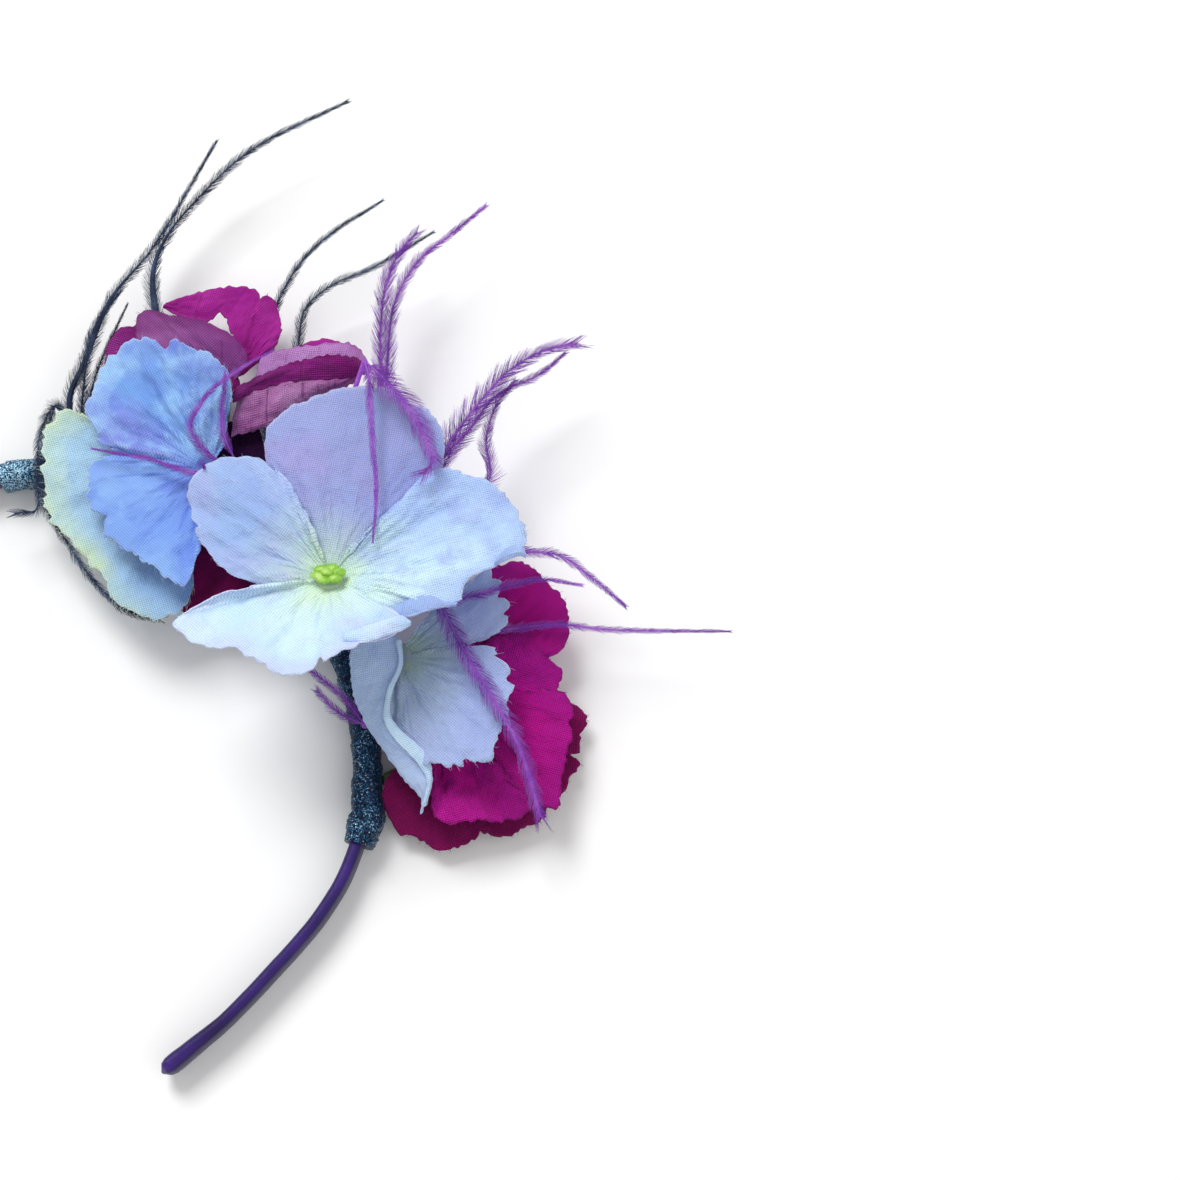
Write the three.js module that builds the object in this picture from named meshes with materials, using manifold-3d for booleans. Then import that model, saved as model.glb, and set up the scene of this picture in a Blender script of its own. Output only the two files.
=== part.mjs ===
// A floral headband: a satin covered band, wound with glitter ribbon where it carries fabric
// hydrangea florets and ostrich feather fronds. Millimetres, +Z up. The headband lies on its
// side, as it does on a table: the band is a C in the XY plane, and its width runs along Z.
// Every place below is measured from the centre of the head circle, at the band's lower edge.
import * as THREE from "three";
import { mergeVertices } from "three/addons/utils/BufferGeometryUtils.js";
import Module from "manifold-3d";

const wasm = await Module();
wasm.setup();

// Band
const BAND_THICK = 3.0;
const BAND_WIDE = 7.0;
const TIP_THICK = 4.0; // the ribbon's folded end makes the tips thicker
const TIP_TAPER = 16; // length over which a tip thickens
const TIP_NOSE = 3.2; // length of a tip's rounded end
const CROWN_AIM = 68; // direction of the crown's middle, degrees from +X

// Glitter ribbon wound on the band
const WRAP_FROM = -13; // degrees from +X, the end with the folded knot
const WRAP_TO = 102;
const WRAP_THICK = 1.0;
const WRAP_BULGE = 0.4; // extra girth in the middle, over the glued stems
const KNOT_BULGE = 1.6;
const KNOT_SPREAD = 5; // degrees
const WRAP_STEPS = 20;

// Fabric and small parts
const GAP = 0.3; // between pieces that touch
const CLOTH = 1.0;
const HUB_RADIUS = 2.6;
const HUB_THICK = 1.6;
const STEM_RADIUS = 1.1;
const STAMEN_BUD = 1.2; // radius
const STAMEN_RING = 6; // buds round the middle one
const STAMEN_SPREAD = 1.7;
const STAMEN_RISE = 3.7; // above the middle of the hub
const FROND_STEP = 8; // length of a frond's straight parts
const OVER_STEP = 5; // the same where it goes over cloth
const FROND_THICK = 1.0;
const QUILL_WIDE = 1.4;

const DEG = Math.PI / 180;
const flat = (angle) => new THREE.Vector3(Math.cos(angle * DEG), Math.sin(angle * DEG), 0);
const UP = new THREE.Vector3(0, 0, 1);

// Solids

// A closed mesh whose vertices are moved by map(x, y, z), as a manifold solid.
function bent(geometry, map) {
  geometry.deleteAttribute("normal");
  geometry.deleteAttribute("uv");
  const merged = mergeVertices(geometry, 1e-6);
  const position = merged.attributes.position;
  for (let i = 0; i < position.count; i += 1) {
    const p = map(position.getX(i), position.getY(i), position.getZ(i));
    position.setXYZ(i, p.x, p.y, p.z);
  }
  const vertProperties = new Float32Array(position.array);
  const triVerts = new Uint32Array(merged.index.array);
  const made = new wasm.Manifold(new wasm.Mesh({ numProp: 3, vertProperties, triVerts }));
  if (made.volume() > 0) return made;
  for (let i = 0; i < triVerts.length; i += 3) {
    [triVerts[i + 1], triVerts[i + 2]] = [triVerts[i + 2], triVerts[i + 1]];
  }
  return new wasm.Manifold(new wasm.Mesh({ numProp: 3, vertProperties, triVerts }));
}

// A rod between two points, its radius given at each end.
function rod(from, to, radius, endRadius = radius, sides = 6) {
  const axis = to.clone().sub(from);
  const turn = new THREE.Quaternion().setFromUnitVectors(
    new THREE.Vector3(0, 1, 0),
    axis.clone().normalize(),
  );
  const geometry = new THREE.CylinderGeometry(endRadius, radius, axis.length(), sides);
  const middle = from.clone().add(to).multiplyScalar(0.5);
  return bent(geometry, (x, y, z) =>
    new THREE.Vector3(x, y, z).applyQuaternion(turn).add(middle),
  );
}

// The largest piece of a joined solid, without the specks of air closed in between its parts.
function filled(solid) {
  const pieces = solid.decompose();
  return pieces.reduce((best, piece) => (piece.volume() > best.volume() ? piece : best));
}

// The least length that a mesh keeps: thinner slivers, where parts join, are taken out.
const FINEST = 0.02;

function meshOf(name, solid, look) {
  const { vertProperties, triVerts } = filled(solid.simplify(FINEST)).getMesh();
  const geometry = new THREE.BufferGeometry();
  geometry.setAttribute("position", new THREE.BufferAttribute(vertProperties, 3));
  geometry.setIndex(new THREE.BufferAttribute(triVerts, 1));
  geometry.computeVertexNormals();
  const mesh = new THREE.Mesh(geometry, look);
  mesh.name = name;
  return mesh;
}

const look = (color, roughness, metalness = 0) =>
  new THREE.MeshStandardMaterial({ color, roughness, metalness });
const LOOKS = {
  satin: look(0x3c2270, 0.35),
  glitter: look(0x1d4a63, 0.3, 0.5),
  pale: look(0xbcd4fb, 0.85),
  blue: look(0x86aef0, 0.85),
  cream: look(0xc3dfe0, 0.85),
  magenta: look(0xa3147f, 0.85),
  stamen: look(0x8fd04a, 0.5),
  stem: look(0x7fa35a, 0.7),
  navy: look(0x1f2f4d, 0.9),
  purple: look(0x8c3fb5, 0.9),
};

// Band and wrap

// The band's middle line, by angle from the crown: the legs draw in, then open at the tips.
const BAND_LINE = [
  { away: 0, reach: 64.9 },
  { away: 20, reach: 64.9 },
  { away: 40, reach: 64.9 },
  { away: 60, reach: 64.9 },
  { away: 76, reach: 64.9 },
  { away: 86, reach: 64.5 },
  { away: 96, reach: 63.2 },
  { away: 109, reach: 61.8 },
  { away: 122, reach: 62.8 },
  { away: 129, reach: 63.8 },
  { away: 136, reach: 65.8 },
];
const bandPoint = (angle, reach) => flat(angle).multiplyScalar(reach);
const bandLine = new THREE.CatmullRomCurve3([
  ...BAND_LINE.slice(1)
    .reverse()
    .map((row) => bandPoint(CROWN_AIM - row.away, row.reach)),
  ...BAND_LINE.map((row) => bandPoint(CROWN_AIM + row.away, row.reach)),
]);
bandLine.arcLengthDivisions = 1000;
const HALF_LENGTH = bandLine.getLength() / 2;
const CROWN_REACH = BAND_LINE[0].reach;

// The place on the line and the outward direction there, by length along the band from the crown.
function bandAt(distance) {
  const share = THREE.MathUtils.clamp(0.5 + distance / HALF_LENGTH / 2, 0, 1);
  const place = bandLine.getPointAt(share);
  const out = bandLine.getTangentAt(share).cross(UP).normalize();
  return { place, out };
}

// An eight sided tube along the band, from one distance to another. Its flats face inward,
// outward, up and down, and sizeAt gives their half distances.
const SIDES = 8;
function alongBand(from, to, steps, sizeAt) {
  const corner = 1 / Math.cos(Math.PI / SIDES);
  const turn = Math.PI / SIDES;
  const geometry = new THREE.CylinderGeometry(corner, corner, 1, SIDES, steps, false, turn);
  return bent(geometry, (x, y, z) => {
    const share = y + 0.5;
    const distance = THREE.MathUtils.lerp(from, to, share);
    const { place, out } = bandAt(distance);
    const size = sizeAt(distance);
    return place
      .clone()
      .addScaledVector(out, x * size.thick + (size.outward ?? 0))
      .setZ(BAND_WIDE / 2 + z * size.wide);
  });
}

// How round the nose is at a distance from the tip: 0 at the very end, 1 on the band.
const nose = (fromTip) => Math.sqrt(1 - (1 - Math.min(fromTip / TIP_NOSE, 1)) ** 2);

function bandSize(distance, grow = 0) {
  const fromTip = HALF_LENGTH - Math.abs(distance);
  const swell = Math.max(0, 1 - fromTip / TIP_TAPER);
  const thick = THREE.MathUtils.lerp(BAND_THICK, TIP_THICK, swell);
  const round = Math.max(0.35, nose(fromTip));
  return { thick: (thick / 2) * round + grow, wide: (BAND_WIDE / 2) * round + grow };
}

function satinBand() {
  return alongBand(-HALF_LENGTH, HALF_LENGTH, 42, (d) => bandSize(d));
}

const distanceAt = (angle) => (angle - CROWN_AIM) * DEG * CROWN_REACH;

// The wound ribbon's half sizes: thickest in the middle, with the knot at its first end.
function wrapSize(distance, grow = 0) {
  const angle = CROWN_AIM + distance / CROWN_REACH / DEG;
  const share = (angle - WRAP_FROM) / (WRAP_TO - WRAP_FROM);
  const middle = Math.sin(Math.PI * THREE.MathUtils.clamp(share, 0, 1));
  const knot = Math.exp(-(((angle - WRAP_FROM - KNOT_SPREAD) / KNOT_SPREAD) ** 2));
  const girth = WRAP_THICK + GAP + grow;
  return {
    thick: BAND_THICK / 2 + girth + WRAP_BULGE * middle + (KNOT_BULGE / 2) * knot,
    wide: BAND_WIDE / 2 + girth,
    outward: (KNOT_BULGE / 2) * knot,
  };
}

function wrapSolid(grow) {
  return alongBand(distanceAt(WRAP_FROM), distanceAt(WRAP_TO), WRAP_STEPS, (d) =>
    wrapSize(d, grow),
  );
}

// Petals and florets

// A petal is a thin sheet, given from its floret's hub. A fan petal spreads from the hub to an
// edge, whose rows go round it: direction (degrees from +X), reach and height (mm). A strip
// petal lies between two lines, and each of its rows holds a place on the first line and one
// on the second (x, y, z and x, y, z in mm).
const PETAL = {
  bow: 1, // how far the sheet's middle stands up
  ruffle: 0.3, // height of the waves along a fan's edge
  waves: 3,
  phase: 0,
};
const ROOT_REACH = 1.8; // where a fan's rays start, within the hub
const FAN_ALONG = 4; // steps from the hub to the edge
const FAN_ACROSS = 0.7; // steps round the edge for each of its rows
const STRIP_ALONG = 6;
const STRIP_ACROSS = 2;
const LEAST_FACING = 0.6; // how much of its height a steep sheet's thickening keeps at least
const FULL_BOW_REACH = 15; // rays shorter than this bow less

const curveOf = (points) => new THREE.CatmullRomCurve3(points, false, "centripetal");

// A fan petal: s runs from the hub to the edge and t round the edge, both from 0 to 1.
function fanSheet(row) {
  const edge = curveOf(
    row.edge.map(([aim, reach, height]) => flat(aim).multiplyScalar(reach).setZ(height)),
  );
  return (s, t) => {
    const end = edge.getPointAt(t);
    const place = end.clone().setZ(0).setLength(ROOT_REACH).lerp(end, s);
    const wave = row.ruffle * s * s * Math.sin(2 * Math.PI * row.waves * t + row.phase);
    const bow = row.bow * Math.min(1, end.length() / FULL_BOW_REACH);
    place.z += bow * Math.sin(Math.PI * s) + wave;
    return place;
  };
}

// A strip petal: s runs along its two lines and t from the first to the second.
function stripSheet(row) {
  const first = curveOf(row.strip.map(([x, y, z]) => new THREE.Vector3(x, y, z)));
  const second = curveOf(row.strip.map(([, , , x, y, z]) => new THREE.Vector3(x, y, z)));
  return (s, t) => {
    const place = first.getPoint(s).lerp(second.getPoint(s), t);
    place.z += row.bow * Math.sin(Math.PI * t);
    return place;
  };
}

// The solid of a petal: its sheet, given the thickness of the cloth. A fan's cloth is thickened
// straight up, so that it can't cut through itself where its edge runs towards the hub.
function petalSolid(row) {
  const step = 0.01;
  const sheet = row.edge ? fanSheet(row) : stripSheet(row);
  const along = row.edge ? FAN_ALONG : STRIP_ALONG;
  const across = row.edge ? Math.round(FAN_ACROSS * row.edge.length) : STRIP_ACROSS;
  const geometry = new THREE.BoxGeometry(1, 1, 1, along, across, 1);
  return bent(geometry, (x, y, z) => {
    const s = THREE.MathUtils.lerp(step, 1 - step, x + 0.5);
    const t = THREE.MathUtils.lerp(step, 1 - step, y + 0.5);
    const ds = sheet(s + step, t).sub(sheet(s - step, t));
    const dt = sheet(s, t + step).sub(sheet(s, t - step));
    const normal = ds.cross(dt).normalize();
    const lift = row.edge ? UP.clone().divideScalar(Math.max(normal.z, LEAST_FACING)) : normal;
    return sheet(s, t).addScaledVector(lift, z * CLOTH);
  });
}

const leaning = (floret) =>
  new THREE.Quaternion().setFromAxisAngle(flat(floret.leanTo + 90), floret.lean * DEG);
const axisOf = (floret) => UP.clone().applyQuaternion(leaning(floret));
const hubOf = (floret) => new THREE.Vector3(...floret.hub);

function floretSolid(floret) {
  const turn = leaning(floret);
  const disc = new THREE.CylinderGeometry(HUB_RADIUS, HUB_RADIUS, HUB_THICK, 12);
  let solid = bent(disc, (x, y, z) => new THREE.Vector3(x, -z, y).applyQuaternion(turn));
  for (const row of floret.petals) solid = solid.add(petalSolid({ ...PETAL, ...row }));
  return filled(solid).translate(floret.hub);
}

// A tuft of round buds on a short stalk, in the middle of a floret.
function stamenSolid(floret) {
  const axis = axisOf(floret);
  const hub = hubOf(floret);
  const stalkFoot = hub.clone().addScaledVector(axis, HUB_THICK / 2 + GAP);
  let solid = rod(stalkFoot, hub.clone().addScaledVector(axis, STAMEN_RISE), STAMEN_BUD / 2);
  for (let i = 0; i <= STAMEN_RING; i += 1) {
    const ring = i < STAMEN_RING ? STAMEN_SPREAD : 0;
    const place = flat((360 / STAMEN_RING) * i)
      .multiplyScalar(ring)
      .applyQuaternion(leaning(floret))
      .add(hub)
      .addScaledVector(axis, STAMEN_RISE + (ring ? 0 : STAMEN_BUD / 2));
    const bud = new THREE.IcosahedronGeometry(STAMEN_BUD, 0);
    solid = solid.add(bent(bud, (x, y, z) => new THREE.Vector3(x, y, z).add(place)));
  }
  return filled(solid);
}

// The post that carries a floret: from its hub to the wound ribbon, and cut to sit on it.
function stemSolid(floret) {
  const axis = axisOf(floret);
  const top = hubOf(floret).addScaledVector(axis, -HUB_THICK / 2 - GAP);
  const knee = top.clone().addScaledVector(axis, -1.5);
  const { place } = bandAt(distanceAt(floret.footAt));
  const foot = place.setZ(floret.footHeight ?? BAND_WIDE / 2);
  return rod(top, knee, STEM_RADIUS).add(rod(knee, foot, STEM_RADIUS)).subtract(wrapSolid(GAP));
}

// Each floret: hub place, the way and the angle its axis leans, and where its stem stands on
// the band, in degrees from +X.
const FLORETS = {
  main: {
    cloth: "pale",
    hub: [58.6, 36.4, 27],
    leanTo: 95,
    lean: 22,
    footAt: 33,
    petals: [
      {
        name: "top",
        edge: [
          [35, 6.5, -1], [39, 19, -1.5], [44, 30, -1.5], [49, 35, -1], [59, 39.5, -1],
          [71, 41.5, -2], [85, 41, -3], [99, 38.5, -3], [112, 35.5, -2.5], [118, 30, -2.5],
          [122, 18.5, -2.5], [124.5, 8.5, -1.5],
        ],
        bow: 0.6,
      },
      {
        name: "left",
        edge: [
          [109, 6, 1], [112, 16, 0.5], [115, 23, 0], [119, 28, -0.5], [128, 32.5, -1],
          [137, 35.5, -1.5], [147, 35, -2], [157, 31, -1.5], [169, 25, 0], [182, 18, 1.5],
          [195, 10, 1.5], [207, 5, 0.5],
        ],
        bow: 1.8,
      },
      {
        name: "right",
        edge: [
          [327, 9.5, 2], [330, 15.5, 4], [341, 21, 6], [345, 27, 7.5], [356, 28.5, 7.5],
          [361, 34, 7], [367, 39.5, 6], [377, 40, 3.5], [388, 38.5, 2.5], [398, 34.5, 2.5],
          [405, 30.5, 2.5], [408, 20.5, 2.5], [411, 9.5, 1.5],
        ],
        bow: 1.5,
      },
      {
        name: "bottom",
        edge: [
          [191, 6.5, 1], [194, 18.5, 7], [197, 28, 7.5], [200, 32, 7.5], [212, 29.5, 10],
          [227, 24, 11.5], [245, 24, 13], [260, 23, 13.5], [272, 20, 14], [297, 18.5, 13],
          [317, 20, 11.5], [325, 19, 9.5], [328, 10, 3],
        ],
        bow: 0.4,
      },
    ],
  },
  blue: {
    cloth: "blue",
    hub: [31.9, 61.6, 17],
    leanTo: 160,
    lean: 8,
    footAt: 68,
    petals: [
      {
        name: "upper",
        edge: [
          [54, 6, 1], [66, 10, 2], [75, 18, 3.5], [85, 22.5, 4], [98, 26, 3.5], [109, 29, 2],
          [122, 32.5, 0.5], [133, 32.5, -0.5], [147, 29.5, 0], [155, 28, 0.5], [166, 23.5, 1],
          [173, 12, 1],
        ],
        bow: 1.2,
      },
      {
        name: "lower",
        edge: [
          [170, 10, 0], [173, 20, 1], [178, 24, 1], [188, 25, 1], [202, 24.5, 1],
          [220, 24.5, 1.5], [240, 23.5, 3], [256, 25.5, 4.5], [262, 26, 5], [266, 22, 5.5],
          [269, 13.5, 3.5], [272, 6, 0.5],
        ],
        bow: 1.2,
      },
    ],
  },
  rim: {
    cloth: "cream",
    hub: [25, 57.5, 11.8],
    leanTo: 200,
    lean: 0,
    footAt: 76,
    petals: [
      {
        name: "whole",
        edge: [
          [128, 9.5, 0.5], [137, 19.5, 1.5], [140, 26, 2], [144, 30.5, 2], [154, 31, 2],
          [169, 28.5, 2], [186, 27, 1.5], [201, 24, 1.5], [221, 22.5, 1.5], [240, 25, 1.5],
          [252, 27, 1.5], [265, 27, 2], [276, 24, 2], [282, 19.5, 1.5], [285, 10, 0.5],
        ],
        bow: -0.4,
      },
    ],
  },
  pale: {
    cloth: "pale",
    hub: [72, 22, 16],
    leanTo: 0,
    lean: 0,
    footAt: 14,
    petals: [
      {
        name: "twisted",
        strip: [
          [-9.8, 3.6, 0, 0.3, 4, 2], [-10, -2, -0.4, 0.8, -0.3, 1.6],
          [-9.1, -7.9, -1, -1.3, -7, 2], [-6.1, -14.2, -1.5, -2, -12.3, 2.6],
          [-2, -20.1, -2, 0.7, -16.9, 2.2], [2.1, -25.4, -2.4, 5.9, -20.7, 0.5],
          [4.9, -28.7, -3.4, 6.8, -24.6, -1], [4.7, -31.5, -4, 6, -29.2, -3],
        ],
        bow: 0.8,
      },
      {
        name: "lower",
        edge: [
          [250, 7, 0], [257, 12.5, 0], [268, 17.5, 0], [286, 23, 1.5], [302, 26.5, 3],
          [313, 28, 3.5], [327, 26.5, 3.5], [340, 25, 3.5], [353, 22.5, 3.5], [364, 19, 3.5],
          [367, 13, 3], [370, 6.5, 1],
        ],
        bow: 0.8,
      },
      {
        name: "upper",
        edge: [
          [4, 8.5, 1.5], [10, 15, 2], [14, 21, 2], [20, 24, 2], [30, 24.5, 2], [41, 25, 2],
          [45, 25.5, 2], [46.2, 23, 2], [47.4, 21, 2], [48.6, 18, 2], [51, 15, 2], [61, 7, 1.5],
        ],
        bow: 0.8,
      },
    ],
  },
  front_magenta: {
    cloth: "magenta",
    hub: [82.2, 16.7, 9.8],
    leanTo: 0,
    lean: 0,
    footAt: 6,
    petals: [
      {
        name: "upper",
        edge: [
          [15.5, 11, 0], [18, 21.5, 0.5], [21, 25.5, 0.5], [30, 28.5, 0.5], [39, 30, 0],
          [47, 30, 0.5], [60, 30.5, 1], [69, 28, 1], [76, 24, 1.5], [82, 16.5, 1.5],
        ],
        bow: 0.8,
      },
      {
        name: "right",
        edge: [
          [300, 20.5, 0], [308, 30.5, 0.5], [312, 33, 0.5], [321, 30, 0], [335, 27.5, 0],
          [348, 26, 0], [358, 24, 0], [359.6, 22, 0.5], [367, 23.5, 0.5], [381, 21, 1],
          [397, 19.5, 1.5], [412, 13, 1.5],
        ],
        bow: 0.8,
      },
      {
        name: "lower",
        edge: [
          [252, 11, 0.5], [260, 21.5, 0.5], [266, 27.5, 0], [282, 28, -0.5], [294, 30, -0.5],
          [303, 30.5, -0.5], [313, 28.5, 0], [324, 18, 0.5],
        ],
        bow: 0.8,
      },
    ],
  },
  back_magenta: {
    cloth: "magenta",
    hub: [84.5, 6.9, 6.5],
    leanTo: 0,
    lean: 0,
    footAt: -2,
    footHeight: 1,
    petals: [
      {
        name: "left",
        edge: [
          [197, 11, 0], [211, 18.5, -1], [225, 22, -2], [238, 23, -3], [248, 22, -3.5],
          [259, 23.5, -3.5], [275, 21, -2.5], [285, 19, -2], [300, 10, -0.5],
        ],
        bow: 0.5,
      },
      {
        name: "lower",
        edge: [
          [269, 12.5, -1], [282, 19.5, -2], [295, 21.5, -3], [311, 23, -3.5], [321, 23, -3.5],
          [337, 21, -2.5], [344, 15, -1.5],
        ],
        bow: 0.5,
      },
      {
        name: "right",
        edge: [
          [324, 17.5, -1.5], [328, 23.5, -2], [341, 23.5, -2.5], [349, 24.5, -3],
          [353, 22.5, -2.5], [355.5, 24.5, -3], [362, 24.5, -3], [370, 26.5, -2.5],
          [375, 25.5, -2.5], [384, 21, -1.5], [386.5, 15.5, -1],
        ],
        bow: 0.5,
      },
    ],
  },
  left_magenta: {
    cloth: "magenta",
    hub: [34.1, 81.8, 11],
    leanTo: 0,
    lean: 0,
    footAt: 60,
    petals: [
      {
        name: "back",
        strip: [
          [-14, 17.9, -1.8, -13.4, 18.6, -1.8], [-8.9, 15.1, -1.4, -8.8, 20.5, -2],
          [-4.4, 14.4, -1.2, -3.7, 22, -2], [-1.5, 16.4, -1.2, 1.8, 22.5, -2],
          [0.7, 12.6, -1.2, 5.9, 21.4, -2], [1.9, 8.5, -1, 6.3, 16.7, -1.4],
          [0.9, 1.7, -0.4, 5, 7.5, -0.6],
        ],
        bow: 0.6,
      },
      {
        name: "right",
        edge: [
          [38, 4.5, -1.5], [40.5, 10.5, -2], [43, 14.5, -2], [52, 18.5, -2], [62, 21.5, -2],
          [68, 22, -2], [71, 20.5, -1.5], [74, 14, -1],
        ],
        bow: 0.6,
      },
      {
        name: "front",
        edge: [
          [24, 3, 1], [46, 7, 1.5], [73, 9.5, 2], [97, 12, 2.5], [116, 15.5, 3],
          [130, 18.5, 3.5], [137, 22.5, 3.5], [145, 23, 3.5], [157, 20, 3], [168, 13, 2],
          [183, 5, 1],
        ],
        bow: 1.2,
      },
      {
        name: "side",
        edge: [
          [135, 15, 1.5], [145, 22.5, 1.5], [152, 25.5, 1.5], [160, 26, 1.5], [169, 26, 1.5],
          [178, 23.5, 1.5], [194, 16, 1],
        ],
        bow: 0.6,
      },
    ],
  },
  top_magenta: {
    cloth: "magenta",
    hub: [44.3, 74.4, 16],
    leanTo: 0,
    lean: 0,
    footAt: 44,
    petals: [
      {
        name: "underside",
        strip: [
          [-8.1, -5.1, -1, -7, 3.6, 1], [-1.1, -3.5, 0, -1.5, 4.9, 2.5],
          [6.4, 0.6, 1, 6.5, 6.3, 3.5], [13.7, 3.7, 2, 13.8, 6.1, 3.5],
          [17.8, 5.9, 2, 17.9, 7.6, 3], [20.3, 8.2, 2.5, 20.5, 8.7, 2.7],
        ],
        bow: 0.8,
      },
      {
        name: "rim",
        strip: [
          [-7.8, 1.4, 1, -6.7, 5.4, 1], [-1.5, 4.2, 2.6, -1.4, 6.7, 3.8],
          [6.5, 5.6, 3.6, 6.2, 9.3, 5.6], [13.8, 5.4, 3.6, 14.9, 10.6, 5.8],
          [18.5, 7.1, 3, 19, 10, 4.2], [20.5, 8.5, 2.8, 20.5, 9.1, 3],
        ],
        bow: 1,
      },
      {
        name: "inside",
        strip: [
          [-3.7, 4, 1.2, -2, 12.2, 0], [2.3, 4.9, 2.5, 2.3, 13.2, 1],
          [6.5, 5.2, 3, 7.2, 13.9, 1.5], [11.7, 5.3, 3.2, 12.8, 14.3, 1.8],
          [15.8, 6, 3.2, 16.6, 14.5, 1.8], [18.5, 7, 2.6, 19.5, 12, 1.4],
          [20.5, 7.6, 2.2, 20.6, 10, 1.4],
        ],
        bow: 0.3,
      },
      {
        name: "back",
        strip: [
          [4.2, 9, 1.9, 5.1, 13.7, -0.5], [7.3, 9.4, 2, 8.8, 15.7, -0.4],
          [11.5, 9.4, 2, 13, 15.9, -0.4], [15.7, 9.4, 2, 16.4, 13.6, -0.2],
        ],
        bow: 0.3,
      },
    ],
  },
  middle_magenta: {
    cloth: "magenta",
    hub: [45.6, 47.9, 12],
    leanTo: 0,
    lean: 0,
    footAt: 48,
    petals: [
      {
        name: "lower",
        edge: [
          [145, 15.5, -1], [179, 19, -1.5], [202, 21.5, -1], [218, 24, -1], [233, 19, -0.5],
          [250, 14, -0.5], [286, 8.5, 0],
        ],
        bow: 0.2,
      },
      {
        name: "upper",
        edge: [
          [71, 9, 0], [95, 17.5, 0], [99, 21.5, 0], [100.6, 25.5, 0], [108, 27, 0],
          [119, 26.5, 0], [125, 23.5, 0], [129, 18, 0], [131, 10, 0],
        ],
        bow: 0.4,
      },
    ],
  },
};

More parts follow.
